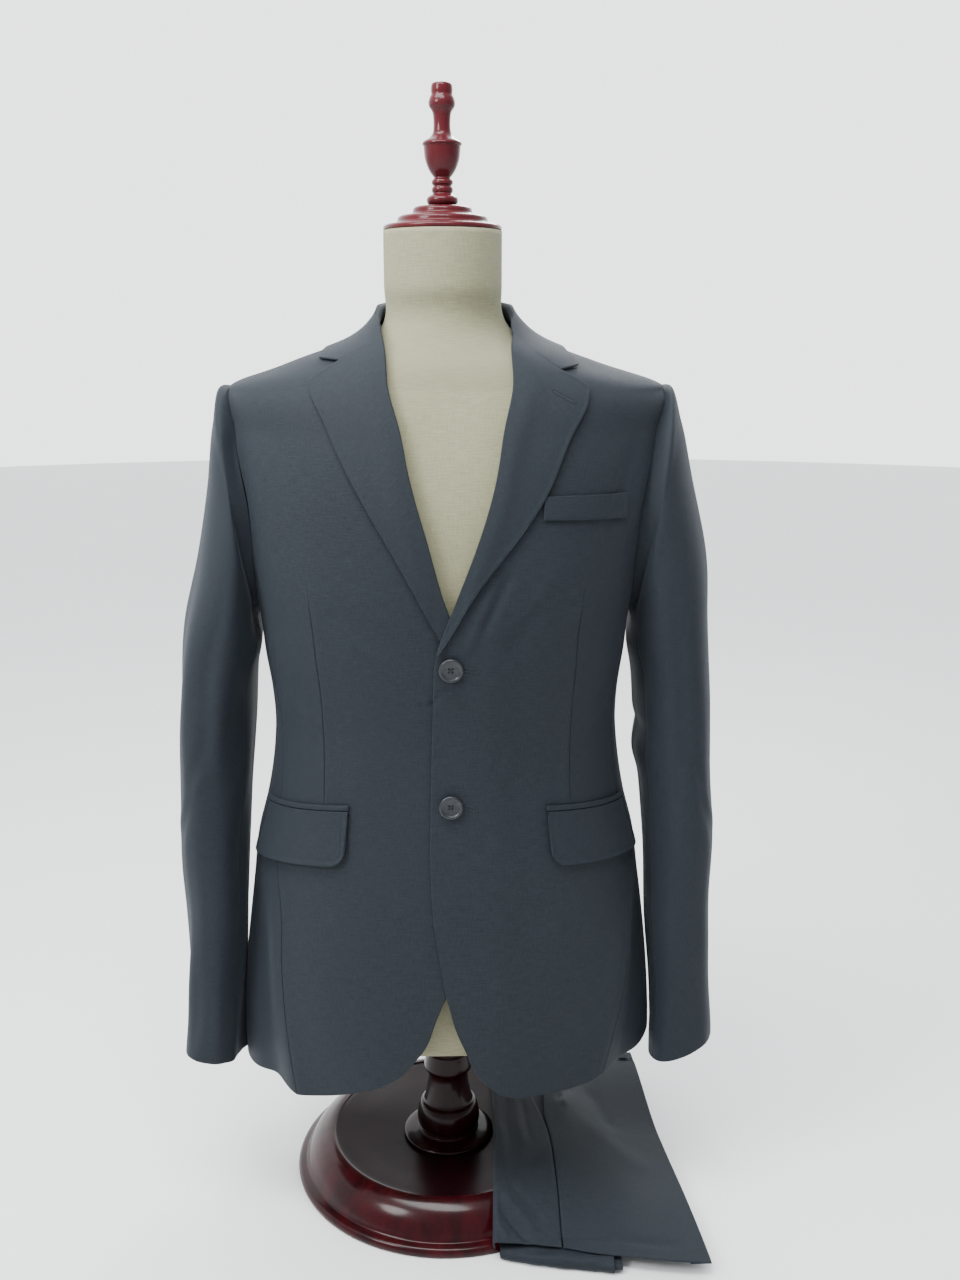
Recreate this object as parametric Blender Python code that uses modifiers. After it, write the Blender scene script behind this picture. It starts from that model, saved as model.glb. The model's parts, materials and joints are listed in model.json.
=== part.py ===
"""Two-piece suit: a two-button jacket worn on a limbless dress form, with its trousers folded
and laid over the stand's foot.

Metres, +Z up. The origin is the centre of the stand's foot on the floor, the form's axis is Z,
the wearer faces -Y and the wearer's left is +X. Every cloth piece is an open sheet of points
with a Solidify wall, and neighbours stop a seam's gap apart.
"""

import math

import bmesh
import bpy
import numpy as np
from mathutils import Vector

# Cloth and seams
CLOTH = 0.0020           # canvassed jacket wall
LIGHT_CLOTH = 0.0018     # lapel, collar, flap and trouser wall
TRIM_CLOTH = 0.0013      # jets, breast welt and belt loops
SEAM = 0.0003            # gap between two pieces that are sewn together
LAY = 0.0005             # gap under a piece that lies on another
BORDER = 0.12            # share of a grid's cell that its narrow border takes
DEGREE = 0.0026          # about how far one degree reaches round the body
TOP_FADE = 5             # power by which a panel's top shape fades down its rows
SHOULDER_SHARE = 0.75    # share of the shoulder's width that the cloth's climb counts

LEFT, RIGHT = 1, -1
SIDE_NAMES = {LEFT: "left", RIGHT: "right"}

# The worn body as level sections. Front and back are measured from the form's axis.
BODY = {
    "columns": ("height", "half_width", "front", "back", "side_y", "squareness"),
    "rows": (
        (0.130, 0.2145, 0.145, 0.142, 0.003, 2.40),
        (0.200, 0.2140, 0.145, 0.142, 0.003, 2.40),
        (0.262, 0.2095, 0.144, 0.141, 0.003, 2.40),
        (0.308, 0.2040, 0.143, 0.138, 0.003, 2.40),
        (0.354, 0.1980, 0.141, 0.131, 0.003, 2.40),
        (0.398, 0.1925, 0.138, 0.120, 0.003, 2.40),
        (0.442, 0.1815, 0.135, 0.106, 0.003, 2.40),
        (0.486, 0.1740, 0.133, 0.094, 0.003, 2.40),
        (0.520, 0.1712, 0.133, 0.089, 0.003, 2.40),
        (0.550, 0.1725, 0.135, 0.092, 0.003, 2.40),
        (0.592, 0.1780, 0.138, 0.100, 0.003, 2.40),
        (0.625, 0.1810, 0.140, 0.107, 0.003, 2.40),
        (0.660, 0.1870, 0.141, 0.113, 0.003, 2.40),
        (0.700, 0.1930, 0.139, 0.118, 0.003, 2.40),
        (0.750, 0.1990, 0.132, 0.121, 0.004, 2.40),
        (0.800, 0.2030, 0.119, 0.119, 0.006, 2.30),
        (0.838, 0.2030, 0.104, 0.112, 0.009, 2.20),
        (0.8475, 0.1900, 0.099, 0.109, 0.010, 2.15),
        (0.866, 0.1375, 0.088, 0.101, 0.010, 2.10),
        (0.885, 0.0895, 0.072, 0.090, 0.009, 2.05),
        (0.903, 0.0680, 0.058, 0.077, 0.008, 2.00),
        (0.914, 0.0632, 0.050, 0.069, 0.008, 2.00),
        (0.925, 0.0615, 0.046, 0.064, 0.008, 2.00),
    ),
}

# The armhole as an ellipse on the body: its middle and half height, and how far round it
# reaches forwards and backwards from the side.
ARMHOLE_MIDDLE, ARMHOLE_HALF = 0.735, 0.108
ARMHOLE_FORWARD, ARMHOLE_BACKWARD = 24.0, 26.0
# Degrees round the armhole of its corners, which every piece sewn to it shares: from the
# side panel's front corner up to the shoulder, and along the side panel's top.
ARMHOLE_FRONT = (146.0, 128.0, 110.0, 90.0, 70.0, 52.0, 34.0, 18.0, 0.0)
ARMHOLE_UNDER = (146.0, 163.0, 180.0, 197.0, 214.0)
ARMHOLE_BACK = tuple(360.0 - turn for turn in ARMHOLE_FRONT)

NECK_HEIGHT = 0.900      # neckline seam at the neck point and the centre back
SHOULDER_SEAM = 91.0     # degrees round from the centre front
CENTRE_BACK = 180.0

# Edge of each front from its rounded corner up to the break, then the roll line: x, height.
FRONT_EDGE = {
    LEFT: (
        (0.0400, 0.1785), (0.0307, 0.1880), (0.0180, 0.2150), (0.0070, 0.2420),
        (-0.0010, 0.2730), (-0.0060, 0.3050), (-0.0120, 0.3450), (-0.0155, 0.4230),
        (-0.0140, 0.4910), (-0.0115, 0.5690), (-0.0100, 0.6000), (-0.0038, 0.6260),
    ),
    RIGHT: (
        (-0.0340, 0.2030), (-0.0222, 0.2193), (-0.0113, 0.2480), (-0.0016, 0.2720),
        (0.0040, 0.2900), (0.0110, 0.3200), (0.0180, 0.3600), (0.0220, 0.4200),
        (0.0220, 0.5000), (0.0200, 0.5700), (0.0160, 0.6000), (0.0090, 0.6220),
    ),
}
ROLL_LINE = {
    LEFT: ((0.0060, 0.6480), (0.0361, 0.7156), (0.0486, 0.7727), (0.0562, 0.8223), (0.0624, 0.8814)),
    RIGHT: ((0.0030, 0.6443), (-0.0163, 0.7134), (-0.0281, 0.7672), (-0.0444, 0.8293), (-0.0565, 0.8840)),
}
# Hem in front of the side seam, from the rounded corner: x, height.
FRONT_HEM = {
    LEFT: ((0.0501, 0.1700), (0.0696, 0.1637), (0.0943, 0.1628), (0.1295, 0.1650)),
    RIGHT: ((-0.0468, 0.1888), (-0.0714, 0.1743), (-0.1013, 0.1652), (-0.1290, 0.1585)),
}
# Hem from the front seam round to the centre back.
HEM = {
    "columns": ("angle", LEFT, RIGHT),
    "rows": (
        (38.0, 0.1700, 0.1540), (45.0, 0.1750, 0.1580), (52.0, 0.1785, 0.1620),
        (60.0, 0.1800, 0.1610), (75.0, 0.1790, 0.1565), (90.0, 0.1720, 0.1530),
        (120.0, 0.1600, 0.1500), (180.0, 0.1500, 0.1500),
    ),
}
HEM_GUESS = 0.16
# Degrees round the body of the seam between a front and its side panel.
FRONT_SEAM = {
    "columns": ("height", LEFT, RIGHT),
    "rows": (
        (0.150, 38.5, 39.8), (0.204, 45.8, 43.0), (0.263, 56.0, 46.4), (0.354, 63.5, 52.0),
        (0.393, 66.0, 56.8), (0.460, 68.0, 61.5), (0.550, 70.5, 68.0), (0.650, 76.0, 76.0),
    ),
}
BACK_SEAM = {
    "columns": ("height", "angle"),
    "rows": ((0.130, 121.0), (0.350, 118.0), (0.520, 111.0), (0.600, 107.0), (0.660, 104.0)),
}

# Largest folds of the worn cloth. Each is a soft trough or ridge between two places.
FOLDS = {
    "columns": ("side", "top_angle", "top_height", "low_angle", "low_height", "rise", "spread"),
    "rows": (
        (LEFT, 65.0, 0.400, 37.0, 0.150, 0.0030, 5.0),
        (LEFT, 77.0, 0.390, 52.0, 0.150, -0.0060, 7.0),
        (RIGHT, 57.0, 0.400, 39.0, 0.140, 0.0030, 5.0),
        (RIGHT, 69.0, 0.390, 52.0, 0.140, -0.0065, 7.0),
        (LEFT, 133.0, 0.420, 140.0, 0.130, -0.0050, 7.0),
        (RIGHT, 135.0, 0.430, 142.0, 0.130, -0.0050, 7.0),
    ),
}

OVERLAP_LIFT = 0.0027    # the wearer's left front lies over the right one
OVERLAP_ANGLES = (9.0, 20.0)
OVERLAP_TOP = (0.630, 0.690)

# Lapels: outer edge from the break up to the tip, then the notch. x, height.
LAPEL_EDGE = {
    LEFT: (
        (0.0050, 0.6330), (0.0258, 0.6643), (0.0612, 0.7091), (0.0912, 0.7521),
        (0.1075, 0.7898), (0.1175, 0.8100), (0.1281, 0.8384),
    ),
    RIGHT: (
        (-0.0085, 0.6340), (-0.0229, 0.6583), (-0.0544, 0.7158), (-0.0861, 0.7723),
        (-0.1000, 0.8010), (-0.1091, 0.8216), (-0.1182, 0.8447),
    ),
}
LAPEL_ROLL_START = {LEFT: (0.0012, 0.6370), RIGHT: (-0.0015, 0.6500)}
GORGE = {LEFT: ((0.0627, 0.8876), (0.1031, 0.8560)), RIGHT: ((-0.0586, 0.8930), (-0.0920, 0.8654))}
COLLAR_CORNER = {LEFT: (0.1215, 0.8600), RIGHT: (-0.1112, 0.8660)}
LAPEL_LIFT = (0.0027, 0.0038)   # at the roll line and at the outer edge
COLLAR_LIFT = 0.0038
NECKLINE_MIDDLE = (62.0, 0.8925)  # degrees round and height, between the roll and the neck point

# Collar: height of its roll and of its fall edge at degrees round from the centre front.
COLLAR = {
    "columns": ("angle", "roll_height", "fall_height"),
    "rows": (
        (70.0, 0.9055, 0.8690), (90.0, 0.9150, 0.8750), (115.0, 0.9190, 0.8790),
        (145.0, 0.9225, 0.8820), (180.0, 0.9240, 0.8835),
    ),
}
COLLAR_STAND = (0.020, 0.002, -0.0062)  # its depth inside the neck, the least depth, and its lift
COLLAR_STAND_TAPER = (-1, 6)            # stations from an end over which the stand grows
# The roll between stand and fall: step up from the roll line, lift off the body.
COLLAR_ROLL = ((-0.0040, -0.0060), (0.0002, -0.0040), (0.0016, -0.0008), (0.0004, 0.0024))
COLLAR_FALL_ROWS = 6
COLLAR_NOTCH_SHARE = 0.67               # share of the fall's end that is sewn to the lapel

# Sleeve sections from the armhole down. Each runs from the inner to the outer side, with its own
# outer reach on the left and right sleeve. Its front edge is raised and drawn in towards the body.
SLEEVE = {
    "columns": ("inner_x", "inner_z", LEFT, RIGHT, "outer_z", "middle_y", "half_depth",
                "front_rise", "front_in", "squareness"),
    "rows": (
        (0.1850, 0.6200, 0.2205, 0.2145, 0.8405, 0.002, 0.072, 0.000, 0.000, 2.0),
        (0.1860, 0.6120, 0.2310, 0.2215, 0.8100, 0.001, 0.077, 0.000, 0.000, 2.0),
        (0.1850, 0.6020, 0.2430, 0.2285, 0.7560, 0.000, 0.080, 0.000, 0.000, 2.0),
        (0.1840, 0.5880, 0.2570, 0.2405, 0.6860, -0.002, 0.081, 0.000, 0.000, 2.0),
        (0.1885, 0.5620, 0.2605, 0.2560, 0.6200, -0.004, 0.080, 0.000, 0.000, 2.1),
        (0.1930, 0.5100, 0.2660, 0.2650, 0.5350, -0.007, 0.077, 0.002, 0.001, 2.2),
        (0.1970, 0.4500, 0.2710, 0.2680, 0.4600, -0.012, 0.073, 0.004, 0.002, 2.3),
        (0.2030, 0.3850, 0.2735, 0.2680, 0.3880, -0.018, 0.069, 0.008, 0.003, 2.4),
        (0.2072, 0.3200, 0.2730, 0.2675, 0.3210, -0.024, 0.066, 0.012, 0.004, 2.5),
        (0.2125, 0.2520, 0.2727, 0.2685, 0.2520, -0.029, 0.063, 0.017, 0.004, 2.5),
        (0.2160, 0.2000, 0.2735, 0.2700, 0.2000, -0.033, 0.061, 0.020, 0.004, 2.6),
        (0.2168, 0.1580, 0.2748, 0.2722, 0.1590, -0.036, 0.061, 0.022, 0.004, 2.6),
    ),
}
FOREARM_SEAM = (128.0, 130.0)   # degrees round the sleeve from its outer side, at the head and cuff
HINDARM_SEAM = (-110.0, -48.0)

# Pockets on the body: degrees round and height of the corners.
FLAP = {
    "columns": ("side", "front", "rear", "front_top", "rear_top", "front_low", "rear_low"),
    "rows": (
        (LEFT, 27.5, 72.0, 0.4545, 0.4420, 0.4010, 0.3895),
        (RIGHT, 26.5, 72.0, 0.4570, 0.4420, 0.4030, 0.3875),
    ),
}
JET_WIDTH = 0.0058
FLAP_LIFT = 0.0031
FLAP_FLARE = 0.0012      # the flap's free edge stands this much further out
FLAP_HEIGHT = 0.054
FLAP_TOP_SHARE = 0.992   # the flap stops this far up, just below its jet
FLAP_ROUNDING = ((0, 0.008), (1, 0.0016), (-1, 0.003))  # low edge's columns, raised by
FLAP_CORNER_DRAW = 0.003
JET_UNDER_FLAP = 0.0006
WELT_CORNERS = ((22.0, 0.7300, 0.7510), (54.0, 0.7265, 0.7500))  # degrees, low and top height

# Buttons
FRONT_BUTTONS = (("upper", 0.0049, 0.5980), ("lower", 0.0042, 0.4651))
FRONT_BUTTON_RADIUS = 0.0112
FRONT_BUTTON_LIFT = 0.0007   # the shank's length
CUFF_BUTTON_RADIUS = 0.0075
CUFF_BUTTONS = 4
CUFF_BUTTON_FIRST, CUFF_BUTTON_STEP = 0.068, 0.0163  # from the cuff's edge
CUFF_BUTTON_TURN = 16.0  # degrees round from the hindarm seam
CUFF_BUTTON_REACH = 4.0  # degrees to each side whose slope the button takes
FRONT_BUTTON_STEPS, CUFF_BUTTON_STEPS = 16, 8
# A button's turned section, as shares of its radius: out, up.
BUTTON_SECTION = (
    (0.00, 0.20), (0.64, 0.20), (0.78, 0.32), (0.92, 0.31), (1.00, 0.16), (0.80, 0.00), (0.00, 0.00),
)

# Dress form: how deep its surface lies under the cloth's, and its neck.
FORM_DEPTH = {
    "columns": ("height", "depth"),
    "rows": (
        (0.185, 0.014), (0.300, 0.016), (0.420, 0.010), (0.520, 0.0070), (0.620, 0.0080),
        (0.720, 0.0105), (0.790, 0.0098), (0.835, 0.0083), (0.850, 0.0069), (0.870, 0.0064),
        (0.885, 0.0090), (0.900, 0.0100), (0.924, 0.0095),
    ),
}
FORM_LOW = 0.190
FORM_LOW_DRAW = 0.006    # the torso's lowest edge is drawn in this much more
FORM_HEIGHTS = (
    FORM_LOW, 0.196, 0.23, 0.31, 0.39, 0.45, 0.52, 0.59, 0.65, 0.71, 0.77,
    0.82, 0.840, 0.8475, 0.857, 0.868, 0.879, 0.890, 0.903, 0.918, 0.936, 0.984,
)
WORN_TOP = 0.924         # the worn body's sections are read no higher
NECK_RADIUS = 0.0555
NECK_TOP = 0.984
NECK_BLEND = (0.886, 0.936)

# Turned wood, radius and height from the top down.
NECK_CAP = (
    (0.000, 1.0060), (0.0235, 1.0060), (0.0275, 1.0040), (0.0280, 0.9985), (0.0390, 0.9975),
    (0.0420, 0.9955), (0.0425, 0.9905), (0.0530, 0.9895), (0.0555, 0.9875), (0.0555, 0.9850),
    (0.0540, 0.9843), (0.000, 0.9843),
)
FINIAL = (
    (0.0000, 1.1130), (0.0070, 1.1130), (0.0085, 1.1110), (0.0088, 1.1060), (0.0085, 1.1030),
    (0.0110, 1.1005), (0.0120, 1.0955), (0.0110, 1.0905), (0.0088, 1.0880), (0.0086, 1.0700),
    (0.0105, 1.0665), (0.0160, 1.0630), (0.0170, 1.0590), (0.0150, 1.0480), (0.0100, 1.0360),
    (0.0072, 1.0310), (0.0098, 1.0285), (0.0100, 1.0255), (0.0080, 1.0240), (0.0098, 1.0220),
    (0.0100, 1.0190), (0.0082, 1.0170), (0.0130, 1.0140), (0.0138, 1.0110), (0.0125, 1.0075),
    (0.0105, 1.0063), (0.0000, 1.0063),
)
POLE = (
    (0.0000, 0.1892), (0.0260, 0.1892), (0.0265, 0.1600), (0.0275, 0.1480), (0.0282, 0.1420),
    (0.0282, 0.1350), (0.0272, 0.1335), (0.0232, 0.1325), (0.0232, 0.1290), (0.0262, 0.1275),
    (0.0264, 0.1130), (0.0245, 0.1040), (0.0250, 0.0960), (0.0300, 0.0880), (0.0342, 0.0800),
    (0.0350, 0.0720), (0.0325, 0.0640), (0.0300, 0.0610), (0.0330, 0.0585), (0.0335, 0.0555),
    (0.0310, 0.0530), (0.0400, 0.0500), (0.0470, 0.0465), (0.0490, 0.0440), (0.0485, 0.0408),
    (0.0000, 0.0408),
)
STAND_BASE = (
    (0.0000, 0.0405), (0.1235, 0.0405), (0.1250, 0.0420), (0.1290, 0.0420), (0.1340, 0.0400),
    (0.1420, 0.0345), (0.1485, 0.0270), (0.1530, 0.0185), (0.1555, 0.0115), (0.1590, 0.0105),
    (0.1635, 0.0090), (0.1655, 0.0050), (0.1648, 0.0010), (0.1635, 0.0000), (0.0000, 0.0000),
)

# Folded trousers. The pile's edges in plan, from its back end to its front: y, left x, right x.
PILE = {
    "columns": ("y", "left", "right"),
    "rows": (
        (0.145, 0.0530, 0.2200), (0.100, 0.0520, 0.2250), (0.020, 0.0505, 0.2300),
        (-0.040, 0.0500, 0.2335), (-0.090, 0.0480, 0.2390), (-0.140, 0.0455, 0.2440),
        (-0.190, 0.0435, 0.2520),
    ),
}
PILE_BACK = 0.145
PILE_FRONT = {  # the top layer's front edge
    "columns": ("x", "y"),
    "rows": ((0.040, -0.1670), (0.095, -0.1650), (0.160, -0.1790), (0.252, -0.1920)),
}
# Height of what the pile lies on, and of the pile's top, at a distance from the axis.
PILE_HEIGHT = {
    "columns": ("distance", "under", "top"),
    "rows": (
        (0.000, 0.0450, 0.0590), (0.110, 0.0450, 0.0585), (0.128, 0.0461, 0.0565),
        (0.138, 0.0444, 0.0520), (0.150, 0.0342, 0.0450), (0.160, 0.0250, 0.0385),
        (0.170, 0.0160, 0.0320), (0.180, 0.0072, 0.0270), (0.190, 0.0000, 0.0235),
        (0.210, 0.0000, 0.0195), (0.250, 0.0000, 0.0175), (0.320, 0.0000, 0.0170),
    ),
}
PILE_BACK_RISE = 0.018   # the waist end is thicker, over these spans of y and distance
PILE_RISE_Y, PILE_RISE_DISTANCE = (0.0, 0.13), (0.12, 0.20)
PILE_FRONT_DROP = 0.010  # the fold over the foot's rim is thinner, over these spans of -y and x
PILE_DROP_Y, PILE_DROP_X = (0.120, 0.165), (0.10, 0.19)
PILE_WAVE, PILE_WAVE_START, PILE_WAVE_TURN = 0.0012, 0.045, 230.0  # soft folds along the left edge
PILE_WAVE_X, PILE_WAVE_Y = (-0.10, -0.06), (-0.16, -0.05)
PILE_LEAST = 0.0163
PILE_CORE_FRONT = -0.158
PILE_CORE_INSET, PILE_CORE_RIGHT_INSET = 0.004, 0.005
PILE_LAYERS = 3
PILE_LAYER_DEPTH = 0.0030
SIDE_SEAM = {            # the upper leg's side seam, with the pocket mouth's front edge
    "columns": ("y", "seam", "pocket"),
    "rows": (
        (0.112, 0.1000, 0.0760), (0.015, 0.1060, 0.0955), (-0.020, 0.1050, 0.1035),
        (-0.039, 0.1075, 0.1070), (-0.089, 0.1105, 0.1100), (-0.140, 0.1120, 0.1115),
        (-0.190, 0.1120, 0.1115),
    ),
}
PILE_ROWS, PANEL_COLUMNS = 13, 7
# The front panel's roll over the pile's left edge, and the other leg's edge at the right.
PANEL_ROLL = ((0.0016, -0.0006), (-0.0012, -0.0034), (-0.0016, -0.0075))
UNDER_LEG_INSET = (0.0085, 0.0040, -0.0012)
UNDER_LEG_BACK = 0.0035
WAISTBAND = (0.1125, 0.1475)    # its front and back edge, y
WAISTBAND_ROLL = ((0.0, -0.0026), (0.0010, -0.0070), (0.0012, -0.0140))  # back, up
WAISTBAND_FLAT = 0.0030         # the flat part stops this far before the roll
WAISTBAND_COLUMNS = 11
BELT_LOOP_HALF, BELT_LOOP_ARCH = 0.005, 0.0012
BELT_LOOP_ENDS = (0.001, 0.004)
BELT_LOOPS = (("near", 0.122), ("far", 0.212))
LEG_ROLL = {             # the under leg's fold, in front of the pile: nose of the fold
    "columns": ("x", "y"),
    "rows": ((0.0500, -0.1735), (0.0900, -0.1815), (0.1600, -0.1960), (0.1700, -0.1975)),
}
LEG_ROLL_SECTION = (     # back from the nose, up
    (0.0192, 0.0000), (0.0070, 0.0000), (0.0022, 0.0018), (0.0000, 0.0062), (0.0022, 0.0108),
    (0.0070, 0.0126), (0.0192, 0.0128),
)
LEG_ROLL_MIDDLE = 0.0064
LEG_ROLL_COLUMNS = 7
LEG_FOLDS = (            # left and right x, share of the fold's height, of its depth, step back
    ("trousers_leg_fold", 0.0560, 0.1610, 1.0, 1.0, 0.0),
    ("trousers_leg_fold_inner", 0.0620, 0.1690, 0.56, 0.9, 0.0030),
)


# ---------------------------------------------------------------- numbers and curves
def column(table, name):
    """One named column of a table."""
    return np.array([row[table["columns"].index(name)] for row in table["rows"]], float)


def smooth(keys, values, at):
    """Smooth curve through values at rising keys, read at other keys."""
    keys, values, at = (np.asarray(item, float) for item in (keys, values, at))
    at = np.clip(at, keys[0], keys[-1])
    gaps = np.diff(keys)
    slopes = np.diff(values) / gaps
    tangents = np.empty_like(values)
    tangents[0], tangents[-1] = slopes[0], slopes[-1]
    tangents[1:-1] = (slopes[:-1] * gaps[1:] + slopes[1:] * gaps[:-1]) / (gaps[1:] + gaps[:-1])
    cell = np.clip(np.searchsorted(keys, at, side="right") - 1, 0, len(gaps) - 1)
    share = (at - keys[cell]) / gaps[cell]
    rest = 1.0 - share
    return (
        (1 + 2 * share) * rest**2 * values[cell]
        + share * rest**2 * gaps[cell] * tangents[cell]
        + share**2 * (3 - 2 * share) * values[cell + 1]
        - share**2 * rest * gaps[cell] * tangents[cell + 1]
    )


def read(table, key, name, at):
    """A table's column as a smooth curve over its key column."""
    keys = column(table, key)
    values = column(table, name)
    if keys[0] > keys[-1]:
        keys, values = keys[::-1], values[::-1]
    return smooth(keys, values, at)


def ease(value, low, high):
    """0 below low, 1 above high, smooth between."""
    share = np.clip((np.asarray(value, float) - low) / (high - low), 0.0, 1.0)
    return share * share * (3.0 - 2.0 * share)


def climb_table():
    """Heights, and how far up the cloth each lies when it is measured over the shoulder."""
    heights = np.linspace(column(BODY, "height")[0], column(BODY, "height")[-1], 300)
    half_widths = read(BODY, "height", "half_width", heights)
    steps = np.hypot(np.diff(heights), SHOULDER_SHARE * np.diff(half_widths))
    return heights, np.concatenate([[0.0], np.cumsum(steps)])


def climbed(pairs):
    """Pairs of angle and height as pairs of angle and distance up the cloth."""
    heights, climbs = climb_table()
    return np.stack([pairs[..., 0], np.interp(pairs[..., 1], heights, climbs)], -1)


def unclimbed(pairs):
    """Pairs of angle and distance up the cloth as pairs of angle and height."""
    heights, climbs = climb_table()
    return np.stack([pairs[..., 0], np.interp(pairs[..., 1], climbs, heights)], -1)


def trace(pairs, count):
    """Even steps along a smooth line through pairs of angle and height."""
    pairs = np.asarray(pairs, float)
    steps = np.diff(climbed(pairs), axis=0) * np.array([DEGREE, 1.0])
    along = np.concatenate([[0.0], np.cumsum(np.linalg.norm(steps, axis=1))])
    at = np.linspace(0.0, along[-1], count)
    return np.stack([smooth(along, pairs[:, 0], at), smooth(along, pairs[:, 1], at)], 1)


def patch(low, top, inner, outer):
    """Grid inside four edges that meet at their ends: rows rise, columns run inner to outer."""
    low, top, inner, outer = (climbed(np.asarray(edge)) for edge in (low, top, inner, outer))
    across = np.linspace(0.0, 1.0, len(low))[None, :, None]
    up = np.linspace(0.0, 1.0, len(inner))[:, None, None]
    ruled = (1 - across) * inner[:, None] + across * outer[:, None]
    # Each end's own shape fades out over the nearest rows.
    grid = ruled + (1 - up) ** 2 * (low - ruled[0]) + up**TOP_FADE * (top - ruled[-1])
    return unclimbed(grid)


def bordered(grid, *edges):
    """Add a narrow border inside some edges, so that a wall's edge stands square to the cloth."""
    if "inner" in edges:
        line = grid[:, 0] * (1 - BORDER) + grid[:, 1] * BORDER
        grid = np.insert(grid, 1, line, axis=1)
    if "outer" in edges:
        line = grid[:, -1] * (1 - BORDER) + grid[:, -2] * BORDER
        grid = np.insert(grid, -1, line, axis=1)
    return grid


def trimmed(points, gap, *edges):
    """Draw some edges of a sheet in by half of a gap."""
    def towards(edge, inside):
        step = inside - edge
        return edge + step / np.linalg.norm(step, axis=-1, keepdims=True) * gap / 2

    points = points.copy()
    if "inner" in edges:
        points[:, 0] = towards(points[:, 0], points[:, 1])
    if "outer" in edges:
        points[:, -1] = towards(points[:, -1], points[:, -2])
    if "top" in edges:
        points[-1] = towards(points[-1], points[-2])
    return points


# ---------------------------------------------------------------- the worn surface
def to_side(side, pairs):
    """Mirror pairs of angle and height to a side."""
    return np.asarray(pairs, float) * np.array([side, 1.0])


def body_section(angle, height):
    """Point of the plain worn body, degrees round from the centre front towards the left."""
    half, front, back, side_y, power = (
        read(BODY, "height", name, height) for name in BODY["columns"][1:]
    )
    turn = np.radians(angle)
    sine, cosine = np.sin(turn), np.cos(turn)
    out = np.abs(cosine) ** (2 / power)
    x = half * np.sign(sine) * np.abs(sine) ** (2 / power)
    y = np.where(cosine > 0, side_y - (front + side_y) * out, side_y + (back - side_y) * out)
    return np.stack([x, y, np.asarray(height, float) + 0 * x], -1)


def body_point(angle, height, lift=0.0):
    """Point of the worn body, moved out along its normal."""
    angle, height = np.broadcast_arrays(np.asarray(angle, float), np.asarray(height, float))
    round_step = body_section(angle + 0.5, height) - body_section(angle - 0.5, height)
    rise_step = body_section(angle, height + 0.001) - body_section(angle, height - 0.001)
    normal = np.cross(round_step, rise_step)
    normal /= np.linalg.norm(normal, axis=-1, keepdims=True)
    return body_section(angle, height) + normal * np.broadcast_to(lift, angle.shape)[..., None]


def angle_at(x, height):
    """Degrees round the front of the body of a point at this x."""
    half = read(BODY, "height", "half_width", height)
    power = read(BODY, "height", "squareness", height)
    share = np.clip(np.abs(x) / half, 0.0, 1.0)
    return np.degrees(np.arcsin(share ** (power / 2))) * np.sign(x)


def on_body(points):
    """Pairs of x and height as pairs of angle and height."""
    points = np.asarray(points, float)
    return np.stack([angle_at(points[:, 0], points[:, 1]), points[:, 1]], 1)


def fold_lift(angle, height):
    """Rise of the cloth's largest folds."""
    total = 0.0 * np.asarray(angle, float)
    for side, top_angle, top, low_angle, low, rise, spread in FOLDS["rows"]:
        share = (height - low) / (top - low)
        line = side * (low_angle + (top_angle - low_angle) * share)
        across = np.exp(-(((angle - line) / spread) ** 2))
        total = total + rise * across * ease(-share, -1.0, -0.55)
    return total


def overlap_lift(angle, height):
    """How far the wearer's left front stands over the right one."""
    near = 1.0 - ease(angle, *OVERLAP_ANGLES)
    return OVERLAP_LIFT * near * (1.0 - ease(height, *OVERLAP_TOP))


def armhole(turn):
    """Angle and height of the armhole at degrees round it: 0 shoulder, 90 front, 180 underarm."""
    turn = np.radians(turn)
    reach = np.where(np.sin(turn) > 0, ARMHOLE_FORWARD, ARMHOLE_BACKWARD)
    return np.stack([90.0 - reach * np.sin(turn), ARMHOLE_MIDDLE + ARMHOLE_HALF * np.cos(turn)], -1)


def armhole_rim(side, turns):
    """Points at degrees round the armhole, on straight runs between its corners."""
    corners = sorted(set(ARMHOLE_FRONT + ARMHOLE_UNDER + ARMHOLE_BACK))
    pairs = to_side(side, armhole(np.array(corners)))
    points = body_point(pairs[:, 0], pairs[:, 1])
    turns = np.mod(turns, 360.0)
    return np.stack([np.interp(turns, corners, points[:, axis]) for axis in range(3)], 1)


def shoulder_line(side, count):
    """Points from the neck point to the shoulder point, on straight runs between a few corners."""
    neck_point = (side * SHOULDER_SEAM, NECK_HEIGHT)
    tip = to_side(side, [armhole(0.0)])[0]
    pairs = trace([neck_point, tip], SHOULDER_CELLS + 1)
    points = body_point(pairs[:, 0], pairs[:, 1])
    at = np.linspace(0.0, SHOULDER_CELLS, count)
    return np.stack([np.interp(at, np.arange(SHOULDER_CELLS + 1), points[:, axis]) for axis in range(3)], 1)


# ---------------------------------------------------------------- Blender objects
def material(name, colour, roughness, metallic=0.0, coat=0.0):
    made = bpy.data.materials.new(name)
    made.use_nodes = True
    shader = made.node_tree.nodes["Principled BSDF"]
    shader.inputs["Base Color"].default_value = (*colour, 1.0)
    shader.inputs["Roughness"].default_value = roughness
    shader.inputs["Metallic"].default_value = metallic
    shader.inputs["Coat Weight"].default_value = coat
    made.diffuse_color = (*colour, 1.0)
    return made


def add_object(name, mesh, finish, collection):
    made = bpy.data.objects.new(name, mesh)
    mesh.materials.append(finish)
    collection.objects.link(made)
    return made


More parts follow.
